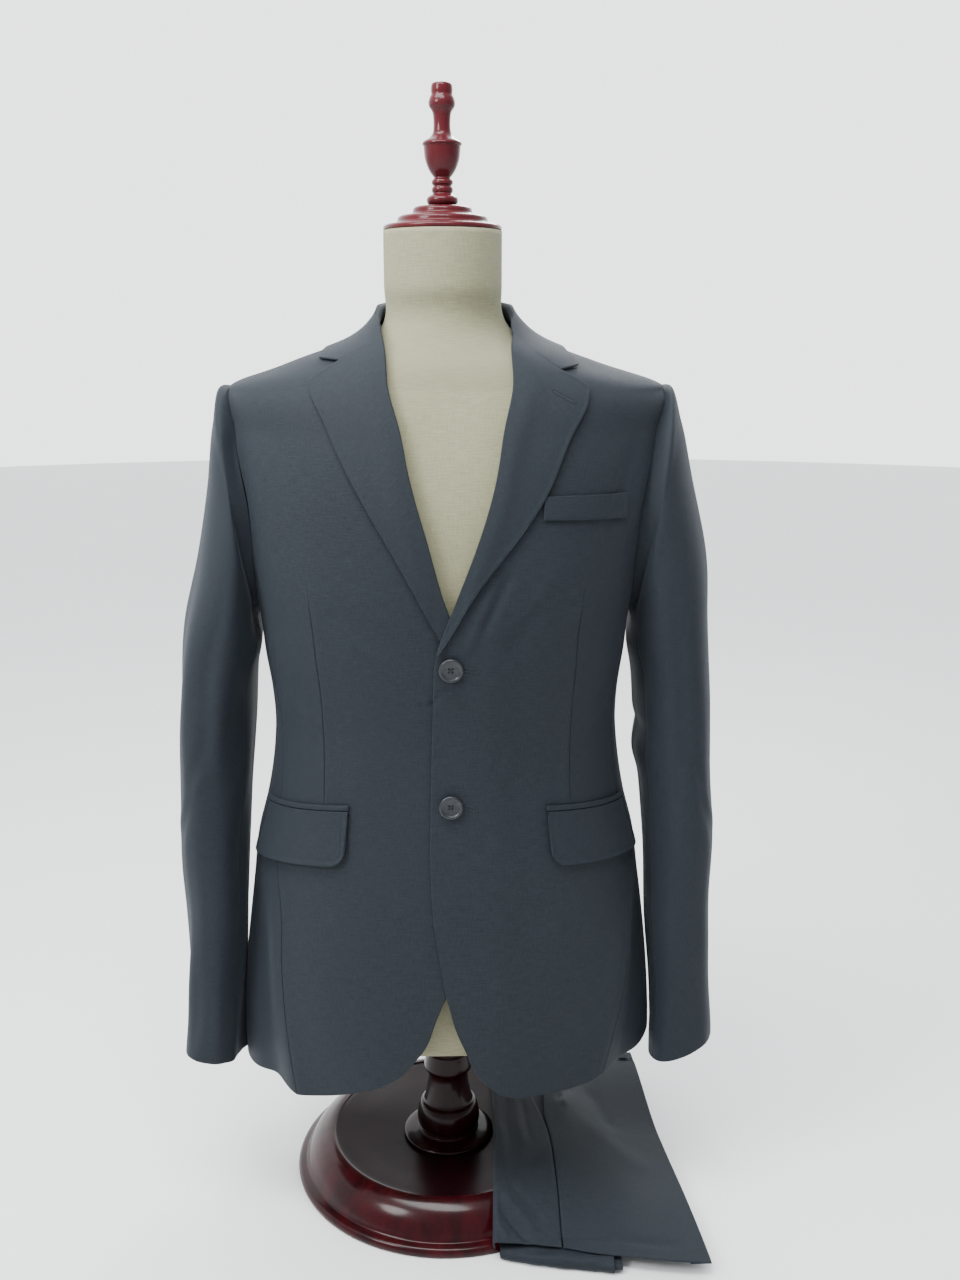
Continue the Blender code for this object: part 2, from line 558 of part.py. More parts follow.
def add_sheet(name, points, wall, finish, collection):
    """Cloth: a grid of points whose rows rise and columns run to the left, with a wall inwards."""
    rows, columns = points.shape[:2]
    mesh = bpy.data.meshes.new(name)
    shape = bmesh.new()
    verts = [[shape.verts.new(point) for point in row] for row in points]
    for row in range(rows - 1):
        for col in range(columns - 1):
            shape.faces.new(
                (verts[row][col], verts[row][col + 1], verts[row + 1][col + 1], verts[row + 1][col])
            )
    shape.to_mesh(mesh)
    shape.free()
    mesh.shade_smooth()
    made = add_object(name, mesh, finish, collection)
    thick = made.modifiers.new("Wall", "SOLIDIFY")
    thick.thickness = wall
    thick.offset = -1.0
    return made


def add_turned(name, section, steps, finish, collection):
    """A turned piece: its section from the axis at the top, down the outside, to the axis."""
    mesh = bpy.data.meshes.new(name)
    points = [(radius, 0.0, height) for radius, height in section]
    mesh.from_pydata(points, [(index, index + 1) for index in range(len(points) - 1)], [])
    made = add_object(name, mesh, finish, collection)
    turn = made.modifiers.new("Turn", "SCREW")
    turn.axis = "Z"
    turn.steps = turn.render_steps = steps
    turn.use_merge_vertices = True
    turn.merge_threshold = 0.00002
    turn.use_normal_calculate = True
    return made


def add_loft(name, rings, finish, collection):
    """A closed solid through rings of points, each running the same way, low to high."""
    mesh = bpy.data.meshes.new(name)
    shape = bmesh.new()
    loops = [[shape.verts.new(point) for point in ring] for ring in rings]
    count = len(loops[0])
    for low, high in zip(loops, loops[1:]):
        for index in range(count):
            follow = (index + 1) % count
            shape.faces.new((low[index], low[follow], high[follow], high[index]))
    shape.faces.new(loops[0][::-1])
    shape.faces.new(loops[-1])
    shape.to_mesh(mesh)
    shape.free()
    mesh.shade_smooth()
    return add_object(name, mesh, finish, collection)


def add_block(name, counts, place, finish, collection):
    """A closed solid with six gridded sides; place maps shares of x, y and z to a point."""
    mesh = bpy.data.meshes.new(name)
    shape = bmesh.new()
    verts = {}

    def vert(key):
        if key not in verts:
            shares = [index / count for index, count in zip(key, counts)]
            verts[key] = shape.verts.new(place(*shares))
        return verts[key]

    for axis in range(3):
        first, second = [other for other in range(3) if other != axis]
        for end in (0, counts[axis]):
            for a in range(counts[first]):
                for b in range(counts[second]):
                    corners = []
                    for step_a, step_b in ((0, 0), (1, 0), (1, 1), (0, 1)):
                        key = [0, 0, 0]
                        key[axis], key[first], key[second] = end, a + step_a, b + step_b
                        corners.append(vert(tuple(key)))
                    shape.faces.new(corners)
    bmesh.ops.recalc_face_normals(shape, faces=shape.faces)
    shape.to_mesh(mesh)
    shape.free()
    return add_object(name, mesh, finish, collection)


# ---------------------------------------------------------------- jacket
FRONT_COLUMNS, SIDE_COLUMNS = 10, len(ARMHOLE_UNDER) - 1
SHOULDER_CELLS, NECKLINE_CELLS = 5, 4
SKIRT_ROWS, ARMHOLE_ROWS = 11, len(ARMHOLE_FRONT) - 1
NECKLINE_ROWS = 3        # of the armhole rows, those beside the front's neckline


def panel_seam(side, table, name, armhole_turn):
    """A seam from the hem up to the armhole, as angle and height."""
    join = to_side(side, [armhole(armhole_turn)])[0]
    heights = np.linspace(hem_crossing(side, table, name), join[1], SKIRT_ROWS + 1)
    line = np.stack([side * read(table, "height", name, heights), heights], 1)
    line[-1] = join
    line[-2, 0] = (line[-3, 0] + 2 * line[-2, 0] + line[-1, 0]) / 4
    return line


def front_seam(side):
    """Seam between a front and its side panel."""
    return panel_seam(side, FRONT_SEAM, side, ARMHOLE_FRONT[0])


def back_seam(side):
    """Seam between a side panel and its back."""
    return panel_seam(side, BACK_SEAM, "angle", ARMHOLE_BACK[0])


def hem_height(side, angle):
    return float(read(HEM, "angle", side, angle))


def hem_crossing(side, table, name):
    """Height where a seam meets the hem."""
    height = HEM_GUESS
    for _ in range(8):
        height = hem_height(side, float(read(table, "height", name, height)))
    return height


def worn(grid, laps=False):
    """A jacket panel's points from its grid of angle and height."""
    angle, height = grid[..., 0], grid[..., 1]
    lift = fold_lift(angle, height) + (overlap_lift(angle, height) if laps else 0.0)
    return body_point(angle, height, lift)


def shoulder_rows(grid):
    """Split the row of cells under the shoulder seam, where the cloth turns over the shoulder."""
    for share in (0.5, BORDER):
        line = grid[-1] * (1 - share) + grid[-2] * share
        grid = np.insert(grid, -1, line, axis=0)
    return grid


def set_to_armhole(side, points, turns, column):
    """Put a panel's side of the armhole on the straight runs that the sleeve shares."""
    turns = np.insert(turns, -1, [(turns[-2] + turns[-1]) / 2, turns[-1] * (1 - BORDER) + turns[-2] * BORDER])
    points[-len(turns):, column] = armhole_rim(side, turns)
    return points


def front_panel(side):
    seam = front_seam(side)
    edge = trace(on_body(FRONT_EDGE[side] + ROLL_LINE[side][:1]), SKIRT_ROWS + 1)
    neck_point = (side * SHOULDER_SEAM, NECK_HEIGHT)
    roll = trace(on_body(ROLL_LINE[side]), ARMHOLE_ROWS - NECKLINE_ROWS + 1)
    neckline = trace([roll[-1], *to_side(side, [NECKLINE_MIDDLE]), neck_point], NECKLINE_ROWS + 1)
    inner = np.vstack([edge, roll[1:], neckline[1:]])
    outer = np.vstack([seam, to_side(side, armhole(np.array(ARMHOLE_FRONT)))[1:]])
    hem_start = on_body(FRONT_EDGE[side][:1] + FRONT_HEM[side])
    low = trace(np.vstack([hem_start, seam[:1]]), FRONT_COLUMNS + 1)
    top = trace([neck_point, outer[-1]], FRONT_COLUMNS + 1)
    inner[0] = low[0]
    grid = bordered(shoulder_rows(patch(low, top, inner, outer)), "outer")
    points = set_to_armhole(side, worn(grid, laps=side == LEFT), ARMHOLE_FRONT, -1)
    shoulder = shoulder_line(side, FRONT_COLUMNS + 1)
    points[-1] = np.insert(shoulder, -1, shoulder[-1] * (1 - BORDER) + shoulder[-2] * BORDER, axis=0)
    return trimmed(trimmed(points, SEAM, "outer"), 4 * SEAM, "top")


def side_panel(side):
    inner, outer = front_seam(side), back_seam(side)
    angles = np.linspace(abs(inner[0, 0]), abs(outer[0, 0]), SIDE_COLUMNS + 1)
    low = np.stack([side * angles, read(HEM, "angle", side, angles)], 1)
    top = to_side(side, armhole(np.array(ARMHOLE_UNDER)))
    low[0], low[-1], top[0], top[-1] = inner[0], outer[0], inner[-1], outer[-1]
    grid = bordered(patch(low, top, inner, outer), "inner", "outer")
    return trimmed(trimmed(worn(grid), SEAM, "outer", "top"), 3 * SEAM, "inner")


def back_panel(side):
    seam = back_seam(side)
    inner = np.vstack([seam, to_side(side, armhole(np.array(ARMHOLE_BACK)))[1:]])
    neck_point = (side * SHOULDER_SEAM, NECK_HEIGHT)
    columns = SHOULDER_CELLS + NECKLINE_CELLS
    angles = np.linspace(abs(seam[0, 0]), CENTRE_BACK, columns + 1)
    low = np.stack([side * angles, read(HEM, "angle", side, angles)], 1)
    shoulder = trace([neck_point, inner[-1]], SHOULDER_CELLS + 1)[::-1]
    neckline = trace([neck_point, (side * CENTRE_BACK, NECK_HEIGHT)], NECKLINE_CELLS + 1)
    top = np.vstack([shoulder, neckline[1:]])
    lower_rows = np.linspace(low[-1, 1], inner[SKIRT_ROWS, 1], SKIRT_ROWS + 1)
    upper_rows = np.linspace(inner[SKIRT_ROWS, 1], NECK_HEIGHT, ARMHOLE_ROWS + 1)
    heights = np.concatenate([lower_rows, upper_rows[1:]])
    outer = np.stack([np.full(len(heights), side * CENTRE_BACK), heights], 1)
    low[0] = inner[0]
    grid = bordered(shoulder_rows(patch(low, top, inner, outer)), "inner", "outer")
    points = set_to_armhole(side, worn(grid), ARMHOLE_BACK, 0)
    edge = shoulder_line(side, SHOULDER_CELLS + 1)[::-1]
    edge = np.insert(edge, 1, edge[0] * (1 - BORDER) + edge[1] * BORDER, axis=0)
    points[-1, : len(edge)] = edge
    return trimmed(trimmed(points, SEAM, "inner", "outer"), 3 * SEAM, "top")


LAPEL_ROWS, LAPEL_COLUMNS = 11, 7


def lapel(side):
    roll = on_body((LAPEL_ROLL_START[side],) + ROLL_LINE[side][:-1] + GORGE[side][:1])
    edge = on_body(LAPEL_EDGE[side])
    inner, outer = trace(roll, LAPEL_ROWS + 1), trace(edge, LAPEL_ROWS + 1)
    low = trace([inner[0], outer[0]], LAPEL_COLUMNS + 1)
    gorge = on_body(GORGE[side])
    top = np.vstack([trace(gorge, 5), trace([gorge[1], outer[-1]], LAPEL_COLUMNS - 3)[1:]])
    grid = patch(low, top, inner, outer)
    across = np.linspace(0.0, 1.0, LAPEL_COLUMNS + 1)[None, :]
    up = np.linspace(0.0, 1.0, LAPEL_ROWS + 1)[:, None]
    spread = LAPEL_LIFT[1] - LAPEL_LIFT[0]
    lift = LAPEL_LIFT[0] + spread * np.maximum(across, ease(up, 0.6, 1.0))
    angle, height = grid[..., 0], grid[..., 1]
    under = overlap_lift(angle, height) if side == LEFT else 0.0
    return trimmed(body_point(angle, height, lift + under), 9 * SEAM, "top")


COLLAR_STATIONS = 12     # columns from a front end to the centre back


def collar_half(side):
    """Roll and fall edges from the gorge round to the centre back, as angle and height."""
    gorge = on_body(GORGE[side])
    corner = on_body([COLLAR_CORNER[side]])
    angles = column(COLLAR, "angle") * side
    roll = np.vstack([gorge[:1], np.stack([angles, column(COLLAR, "roll_height")], 1)])
    fall = np.vstack([corner, np.stack([angles, column(COLLAR, "fall_height")], 1)])
    return trace(roll, COLLAR_STATIONS), trace(fall, COLLAR_STATIONS), gorge[1]


def collar():
    """Stand, roll and fall as one folded wall."""
    right_roll, right_fall, right_notch = collar_half(RIGHT)
    left_roll, left_fall, left_notch = collar_half(LEFT)
    left_roll[-1, 0] = left_fall[-1, 0] = 180.0
    right_roll[:, 0] += 360.0
    right_fall[:, 0] += 360.0
    right_notch = right_notch + np.array([360.0, 0.0])
    roll = np.vstack([left_roll, right_roll[-2::-1]])
    fall = np.vstack([left_fall, right_fall[-2::-1]])
    count = len(roll)
    from_end = np.minimum(np.arange(count), np.arange(count)[::-1])
    deep, least, stand_lift = COLLAR_STAND
    stand = least + deep * ease(from_end, *COLLAR_STAND_TAPER)
    rows = [(roll[:, 0], roll[:, 1] - stand, stand_lift)]
    rows += [(roll[:, 0], roll[:, 1] + rise, lift) for rise, lift in COLLAR_ROLL]
    for row in range(1, COLLAR_FALL_ROWS + 1):
        share = row / COLLAR_FALL_ROWS
        line = roll * (1 - share) + fall * share
        reach = min(share / COLLAR_NOTCH_SHARE, 1.0)
        past = max((share - COLLAR_NOTCH_SHARE) / (1.0 - COLLAR_NOTCH_SHARE), 0.0)
        for end, notch in ((0, left_notch), (-1, right_notch)):
            sewn = roll[end] * (1 - reach) + notch * reach
            line[end] = sewn * (1 - past) + fall[end] * past
        rows.append((line[:, 0], line[:, 1], COLLAR_LIFT))
    return np.stack([body_point(angle, height, lift) for angle, height, lift in rows])[::-1]


def sleeve_point(side, row, turns):
    """Points round one row of the sleeve table, at degrees round from the sleeve's outer side."""
    entry = dict(zip(SLEEVE["columns"], SLEEVE["rows"][row]))
    power = 2.0 / entry["squareness"]
    cosine, sine = np.cos(np.radians(turns)), np.sin(np.radians(turns))
    outward = np.sign(cosine) * np.abs(cosine) ** power
    forward = np.sign(sine) * np.abs(sine) ** power
    reach = (1 + outward) / 2
    x = entry["inner_x"] + (entry[side] - entry["inner_x"]) * reach - entry["front_in"] * forward
    z = entry["inner_z"] + (entry["outer_z"] - entry["inner_z"]) * reach + entry["front_rise"] * forward
    return np.stack([side * x, entry["middle_y"] - entry["half_depth"] * forward, z], 1)


def sleeve_piece(side, under):
    """One sleeve piece between the hindarm and forearm seams, from the cuff up to the armhole."""
    share = np.linspace(0.0, 1.0, len(SLEEVE["rows"]) + 1)
    fore = FOREARM_SEAM[0] + (FOREARM_SEAM[1] - FOREARM_SEAM[0]) * share
    hind = HINDARM_SEAM[0] + (HINDARM_SEAM[1] - HINDARM_SEAM[0]) * share
    start, stop = (fore, hind + 360.0) if under else (hind, fore)
    corners = np.array(sorted(set(ARMHOLE_FRONT + ARMHOLE_UNDER + ARMHOLE_BACK)))
    corners = np.unique(np.concatenate([corners - 360.0, corners]))
    corners = corners[(corners >= start[0]) & (corners <= stop[0])]
    across = (corners - start[0]) / (stop[0] - start[0])
    across = bordered(across[None, :], "inner", "outer")[0]
    rim = armhole_rim(side, start[0] + (stop[0] - start[0]) * across)
    rows = [rim + np.array([side * 2 * SEAM, 0.0, 0.0])]
    for row in range(len(SLEEVE["rows"])):
        turns = start[row + 1] + (stop[row + 1] - start[row + 1]) * across
        rows.append(sleeve_point(side, row, turns))
    # The seams' gap widens at the head, where they run aslant.
    gap = SEAM * (2 + 9 * share[:, None] ** 3)
    grid = trimmed(np.array(rows)[::-1], gap, "inner", "outer")
    return grid[:, ::-1] if side == LEFT else grid


def flap_grid(side, low_share, top_share, columns, rows, lift, flare=0.0):
    """A band on the pocket: shares of the flap's height, 0 at its low edge and 1 at its top."""
    row = next(entry for entry in FLAP["rows"] if entry[0] == side)
    _, front, rear, front_top, rear_top, front_low, rear_low = row
    across = np.linspace(0.0, 1.0, columns + 1)[None, :]
    up = np.linspace(low_share, top_share, rows + 1)[:, None]
    angle = side * (front + (rear - front) * across) + 0.0 * up
    low = front_low + (rear_low - front_low) * across
    top = front_top + (rear_top - front_top) * across
    height = low + (top - low) * up
    lift = lift + flare * (1.0 - np.clip(up, 0.0, 1.0)) ** 2 + fold_lift(angle, height)
    return body_point(angle, height, lift)


def flap(side):
    grid = flap_grid(side, 0.0, FLAP_TOP_SHARE, 9, 5, FLAP_LIFT, FLAP_FLARE)
    # The two low corners are rounded by drawing their points up along the sides.
    for col, rise in FLAP_ROUNDING:
        grid[0, col, 2] += rise
    grid[0, 0, 0] += side * FLAP_CORNER_DRAW
    return grid


def jet(side):
    share = JET_WIDTH / FLAP_HEIGHT
    return flap_grid(side, 1.0, 1.0 + share, 9, 1, FLAP_LIFT - JET_UNDER_FLAP)


def breast_welt():
    (front, front_low, front_top), (rear, rear_low, rear_top) = WELT_CORNERS
    across = np.linspace(0.0, 1.0, 8)[None, :]
    up = np.linspace(0.0, 1.0, 3)[:, None]
    low = front_low + (rear_low - front_low) * across
    top = front_top + (rear_top - front_top) * across
    height = low + (top - low) * up
    angle = front + (rear - front) * across + 0.0 * up
    return body_point(angle, height, TRIM_CLOTH + LAY)


def add_button(name, radius, steps, place, out, finish, collection):
    """A turned button whose back lies at place and whose face looks along out."""
    section = [(out_share * radius, up * radius) for out_share, up in BUTTON_SECTION]
    made = add_turned(name, section, steps, finish, collection)
    made.location = place
    made.rotation_mode = "QUATERNION"
    made.rotation_quaternion = Vector(out).to_track_quat("Z", "Y")
    return made


def ordered(grid, side):
    """Columns run inner to outer on each side, so the right side's are turned round."""
    return grid if side == LEFT else grid[:, ::-1]


def build_jacket(suiting, horn, collection):
    for side, word in SIDE_NAMES.items():
        add_sheet(f"front_{word}", ordered(front_panel(side), side), CLOTH, suiting, collection)
        add_sheet(f"side_{word}", ordered(side_panel(side), side), CLOTH, suiting, collection)
        add_sheet(f"back_{word}", ordered(back_panel(side), side), CLOTH, suiting, collection)
        add_sheet(f"lapel_{word}", ordered(lapel(side), side), LIGHT_CLOTH, suiting, collection)
        add_sheet(f"pocket_flap_{word}", ordered(flap(side), side), LIGHT_CLOTH, suiting, collection)
        add_sheet(f"pocket_jet_{word}", ordered(jet(side), side), TRIM_CLOTH, suiting, collection)
        add_sheet(f"sleeve_top_{word}", sleeve_piece(side, False), CLOTH, suiting, collection)
        add_sheet(f"sleeve_under_{word}", sleeve_piece(side, True), CLOTH, suiting, collection)
        build_cuff_buttons(side, word, horn, collection)
    add_sheet("collar", collar(), LIGHT_CLOTH, suiting, collection)
    add_sheet("breast_welt", breast_welt(), TRIM_CLOTH, suiting, collection)
    for word, x, height in FRONT_BUTTONS:
        angle = float(angle_at(x, height))
        lift = float(overlap_lift(angle, height))
        place = body_point(angle, height, lift + FRONT_BUTTON_LIFT)
        out = body_point(angle, height, 1.0) - body_point(angle, height, 0.0)
        add_button(f"front_button_{word}", FRONT_BUTTON_RADIUS, FRONT_BUTTON_STEPS,
                   place, out, horn, collection)


def build_cuff_buttons(side, word, horn, collection):
    """Buttons up the hindarm seam from the cuff, on the top sleeve."""
    turns = HINDARM_SEAM[1] + CUFF_BUTTON_TURN + CUFF_BUTTON_REACH * np.array([-1.0, 0.0, 1.0])
    rows = np.array([sleeve_point(side, row, turns) for row in (-1, -2, -3, -4)])
    for index in range(CUFF_BUTTONS):
        height = rows[0, 1, 2] + CUFF_BUTTON_FIRST + index * CUFF_BUTTON_STEP
        spots = np.array([[np.interp(height, rows[:, col, 2], rows[:, col, axis]) for axis in range(3)]
                          for col in range(3)])
        out = np.cross(spots[2] - spots[0], (0.0, 0.0, 1.0))
        out *= side * np.sign(out[0]) / np.linalg.norm(out)
        place = spots[1] + out * LAY
        add_button(f"cuff_button_{word}_{index + 1}", CUFF_BUTTON_RADIUS, CUFF_BUTTON_STEPS,
                   place, out, horn, collection)


# ---------------------------------------------------------------- dress form and stand
FORM_POINTS = 24


def form_rings():
    """The form's torso: the worn body less its depth, drawn in to a round neck."""
    angles = np.arange(FORM_POINTS) * 360.0 / FORM_POINTS
    turn = np.radians(angles)
    rings = []
    for height in FORM_HEIGHTS:
        depth = float(read(FORM_DEPTH, "height", "depth", height))
        if height == FORM_LOW:
            depth += FORM_LOW_DRAW
        under = body_point(angles, np.full(FORM_POINTS, min(height, WORN_TOP)), -depth)
        neck = np.stack([NECK_RADIUS * np.sin(turn), -NECK_RADIUS * np.cos(turn), 0 * turn + height], 1)
        share = float(ease(height, *NECK_BLEND))
        rings.append(under * (1 - share) + neck * share)
    rings[0][:, 2] = FORM_LOW
    return rings


def build_form(linen, wood, collection):
    add_loft("form_torso", form_rings(), linen, collection)
    add_turned("neck_cap", NECK_CAP, 20, wood, collection)
    add_turned("finial", FINIAL, 10, wood, collection)
    add_turned("pole", POLE, 16, wood, collection)
    add_turned("stand_base", STAND_BASE, 32, wood, collection)


# ---------------------------------------------------------------- folded trousers
def pile_front(x):
    return read(PILE_FRONT, "x", "y", x)


def pile_top(x, y):
    """Height of the pile's top layer."""
    distance = np.hypot(x, y)
    height = read(PILE_HEIGHT, "distance", "top", distance)
    height = height + PILE_BACK_RISE * ease(y, *PILE_RISE_Y) * ease(distance, *PILE_RISE_DISTANCE)
    front = ease(-np.asarray(y), *PILE_DROP_Y) * (1.0 - ease(x, *PILE_DROP_X))
    wave = np.sin((x - PILE_WAVE_START) * PILE_WAVE_TURN) * ease(-x, *PILE_WAVE_X)
    soft = PILE_WAVE * wave * ease(y, *PILE_WAVE_Y)
    return np.maximum(height - PILE_FRONT_DROP * front + soft, PILE_LEAST)


def build_trousers(suiting, collection):
    wall = LIGHT_CLOTH
    back, front = PILE_BACK, PILE_CORE_FRONT

    def core(share_x, share_y, share_z):
        scallop = abs(math.sin(math.pi * PILE_LAYERS * share_z))
        pull = PILE_CORE_INSET + PILE_LAYER_DEPTH * (1.0 - scallop)
        y = back - pull + (front - back + 2 * pull) * share_y
        left = float(read(PILE, "y", "left", y)) + pull
        right = float(read(PILE, "y", "right", y)) - PILE_CORE_RIGHT_INSET - pull
        x = left + (right - left) * share_x
        under = float(read(PILE_HEIGHT, "distance", "under", math.hypot(x, y)))
        top = float(pile_top(x, y)) - wall - 6 * LAY
        return x, y, under + (top - under) * share_z

    add_block("trousers_inner_fold", (8, 12, 2 * PILE_LAYERS), core, suiting, collection)

    # The top leg: its front panel rolls over the pile's left edge, its back panel ends at the right.
    y_rows = np.linspace(0.0, 1.0, PILE_ROWS)

    def plan(left_x, right_x, share, y_back, y_share):
        x_guess = left_x(y_back) * (1 - share) + right_x(y_back) * share
        y = y_back + (pile_front(x_guess) - y_back) * y_share
        for _ in range(3):
            x = left_x(y) * (1 - share) + right_x(y) * share
            y = y_back + (pile_front(x) - y_back) * y_share
        return x, y

    def left_edge(y):
        return read(PILE, "y", "left", y)

    def right_edge(y):
        return read(PILE, "y", "right", y)

    def seam_edge(y):
        return read(SIDE_SEAM, "y", "seam", y) + SEAM / 2

    def pocket_edge(y):
        return read(SIDE_SEAM, "y", "pocket", y) - SEAM / 2

    start = WAISTBAND[0] - 3 * SEAM

    def top_leg(left_x, right_x, roll):
        grid = []
        for y_share in y_rows[::-1]:
            row = []
            for share in np.linspace(0.0, 1.0, PANEL_COLUMNS):
                x, y = plan(left_x, right_x, share, start, y_share)
                row.append((x, y, pile_top(x, y)))
            if roll:
                x, y, z = row[0]
                row[:1] = [(x + out, y, z + rise) for out, rise in PANEL_ROLL[::-1]]
            grid.append(row)
        return np.array(grid, float)

    add_sheet("trousers_front_panel", top_leg(left_edge, pocket_edge, True), wall, suiting, collection)
    add_sheet("trousers_back_panel", top_leg(seam_edge, right_edge, False), wall, suiting, collection)

    # The other leg's edge shows under the top one, along the right and at the front corner.
    grid = []
    for y_share in y_rows[::-1]:
        row = []
        for inside in UNDER_LEG_INSET:
            x, y = plan(right_edge, right_edge, 1.0, start, y_share)
            x = x - inside
            z = pile_top(x, y) - wall - LAY * 1.6
            row.append((x, y + UNDER_LEG_BACK, z))
        grid.append(row)
    add_sheet("trousers_under_leg", np.array(grid, float), wall, suiting, collection)

    build_waistband(suiting, collection)
    build_leg_roll(suiting, collection)


def build_waistband(suiting, collection):
    """The waistband across the pile's back end, rolled down over it, and its belt loops."""
    near, far = WAISTBAND
    lines = [(y, 0.0) for y in np.linspace(near, far - WAISTBAND_FLAT, 4)]
    lines += [(far + back, fall) for back, fall in WAISTBAND_ROLL]
    grid = []
    for y, fall in lines:
        edge_y = min(y, PILE_BACK)
        left = float(read(PILE, "y", "left", edge_y))
        right = float(read(PILE, "y", "right", edge_y))
        xs = np.linspace(left, right, WAISTBAND_COLUMNS)
        grid.append([(x, y, float(pile_top(x, edge_y)) + fall) for x in xs])
    add_sheet("waistband", np.array(grid, float), LIGHT_CLOTH, suiting, collection)
    for word, x_middle in BELT_LOOPS:
        grid = []
        for y in np.linspace(near + BELT_LOOP_ENDS[0], far - BELT_LOOP_ENDS[1], 5):
            arch = BELT_LOOP_ARCH * math.sin(math.pi * (y - near) / (far - near))
            xs = (x_middle - BELT_LOOP_HALF, x_middle, x_middle + BELT_LOOP_HALF)
            grid.append([(x, y, float(pile_top(x, y)) + TRIM_CLOTH + LAY + arch) for x in xs])
        add_sheet(f"belt_loop_{word}", np.array(grid, float), TRIM_CLOTH, suiting, collection)


def build_leg_roll(suiting, collection):
    """The under leg folded back on itself in front, and the edge of its inner layer."""
    for name, start, stop, flat, depth, step in LEG_FOLDS:
        xs = np.linspace(start, stop, LEG_ROLL_COLUMNS)
        nose = read(LEG_ROLL, "x", "y", xs) + step
        grid = [
            np.stack([xs, nose + back * depth, 0 * xs + LEG_ROLL_MIDDLE + (up - LEG_ROLL_MIDDLE) * flat], 1)
            for back, up in LEG_ROLL_SECTION
        ]
        add_sheet(name, np.array(grid), LIGHT_CLOTH, suiting, collection)


def main():
    for item in list(bpy.data.objects):
        bpy.data.objects.remove(item, do_unlink=True)
    suit = bpy.data.collections.new("two_piece_suit")
    bpy.context.scene.collection.children.link(suit)
    suiting = material("charcoal_suiting", (0.045, 0.055, 0.063), 0.78)
    horn = material("dark_horn", (0.018, 0.020, 0.023), 0.32)
    linen = material("form_linen", (0.48, 0.47, 0.37), 0.85)
    wood = material("mahogany_lacquer", (0.085, 0.010, 0.010), 0.18, coat=0.6)
    build_form(linen, wood, suit)
    build_jacket(suiting, horn, suit)
    build_trousers(suiting, suit)


if __name__ == "__main__":
    main()
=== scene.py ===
"""Dressed model of a two-button suit on a limbless dress form, its trousers folded on the foot.

Metres, +Z up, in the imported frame: the origin is the centre of the stand's foot on the floor, the
wearer faces -Y and the wearer's left is +X. Cloth pieces are grids of points on the worn body,
whose rows rise and whose columns run towards the wearer's left, so that they face outwards.
"""

import json
import logging
import math
from dataclasses import dataclass, field
from enum import Enum
from typing import Callable, Optional, Sequence, Union

import bpy
import numpy as np
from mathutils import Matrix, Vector

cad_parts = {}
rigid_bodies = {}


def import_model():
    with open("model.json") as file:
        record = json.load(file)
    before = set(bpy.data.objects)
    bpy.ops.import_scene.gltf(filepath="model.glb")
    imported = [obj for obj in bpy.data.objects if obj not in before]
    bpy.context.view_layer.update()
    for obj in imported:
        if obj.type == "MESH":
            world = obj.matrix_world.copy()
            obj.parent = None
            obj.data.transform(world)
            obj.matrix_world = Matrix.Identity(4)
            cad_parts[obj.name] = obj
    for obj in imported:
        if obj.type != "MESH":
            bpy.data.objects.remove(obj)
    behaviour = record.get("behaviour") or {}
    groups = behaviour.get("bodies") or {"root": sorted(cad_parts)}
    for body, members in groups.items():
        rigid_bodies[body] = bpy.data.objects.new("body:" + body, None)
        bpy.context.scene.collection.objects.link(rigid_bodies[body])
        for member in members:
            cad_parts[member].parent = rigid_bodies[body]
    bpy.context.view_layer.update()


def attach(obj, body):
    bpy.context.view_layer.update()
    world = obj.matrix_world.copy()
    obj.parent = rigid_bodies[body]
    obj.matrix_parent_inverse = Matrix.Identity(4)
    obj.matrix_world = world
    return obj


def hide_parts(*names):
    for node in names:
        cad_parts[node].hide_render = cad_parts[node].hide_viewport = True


LOG = logging.getLogger("two_piece_suit")
Array = np.ndarray
Piece = bpy.types.Object
Finish = bpy.types.Material
Pair = tuple[float, float]
Pairs = Sequence[tuple[float, ...]]
SEAM = 0.0003  # gap between two pieces that are sewn together
LAY = 0.0005  # gap under a piece that lies on another
DEGREE = 0.0026  # about how far one degree reaches round the body
CLOTH_MAP = "cloth"  # UV map in metres of cloth
LEAST_CUT = 0.0102  # least width or length that a cut piece is stated with
LEAST_FILL = 0.31  # least share of its width times its length that its stated area is
SWELL_WAVES = 7  # waves in a surface's uneven swell
CORNER_CUTS = 2  # how many times a turned section's corners are cut round
CORNER_SHARE = 0.22  # share of a run that each cut takes


class Side(Enum):
    """The wearer's left or right."""

    LEFT = 1
    RIGHT = -1

    @property
    def word(self) -> str:
        """Its name in a piece's name."""
        return self.name.lower()


class Held(Enum):
    """How a sheet of cloth is held."""

    DRAPED = "draped"
    FOLDED = "folded"


@dataclass(frozen=True)
class BySide:
    """One value for the wearer's left and one for the right."""

    left: Union[float, tuple]
    right: Union[float, tuple]

    def of(self, side: Side) -> Union[float, tuple]:
        """The value for one side."""
        return self.left if side is Side.LEFT else self.right


@dataclass(frozen=True)
class Table:
    """Rows of measured sizes under named columns."""

    columns: tuple[str, ...]
    rows: Pairs

    def column(self, name: str) -> Array:
        """One named column."""
        return np.array([row[self.columns.index(name)] for row in self.rows], float)

    def read(self, key: str, name: str, at: Union[float, Array]) -> Array:
        """A column as a smooth curve over its key column.

        Args:
            key: the column to look up in.
            name: the column to read.
            at: values of the key.

        Returns:
            The column's values there.
        """
        keys, values = self.column(key), self.column(name)
        if keys[0] > keys[-1]:
            keys, values = keys[::-1], values[::-1]
        return smooth(keys, values, at)


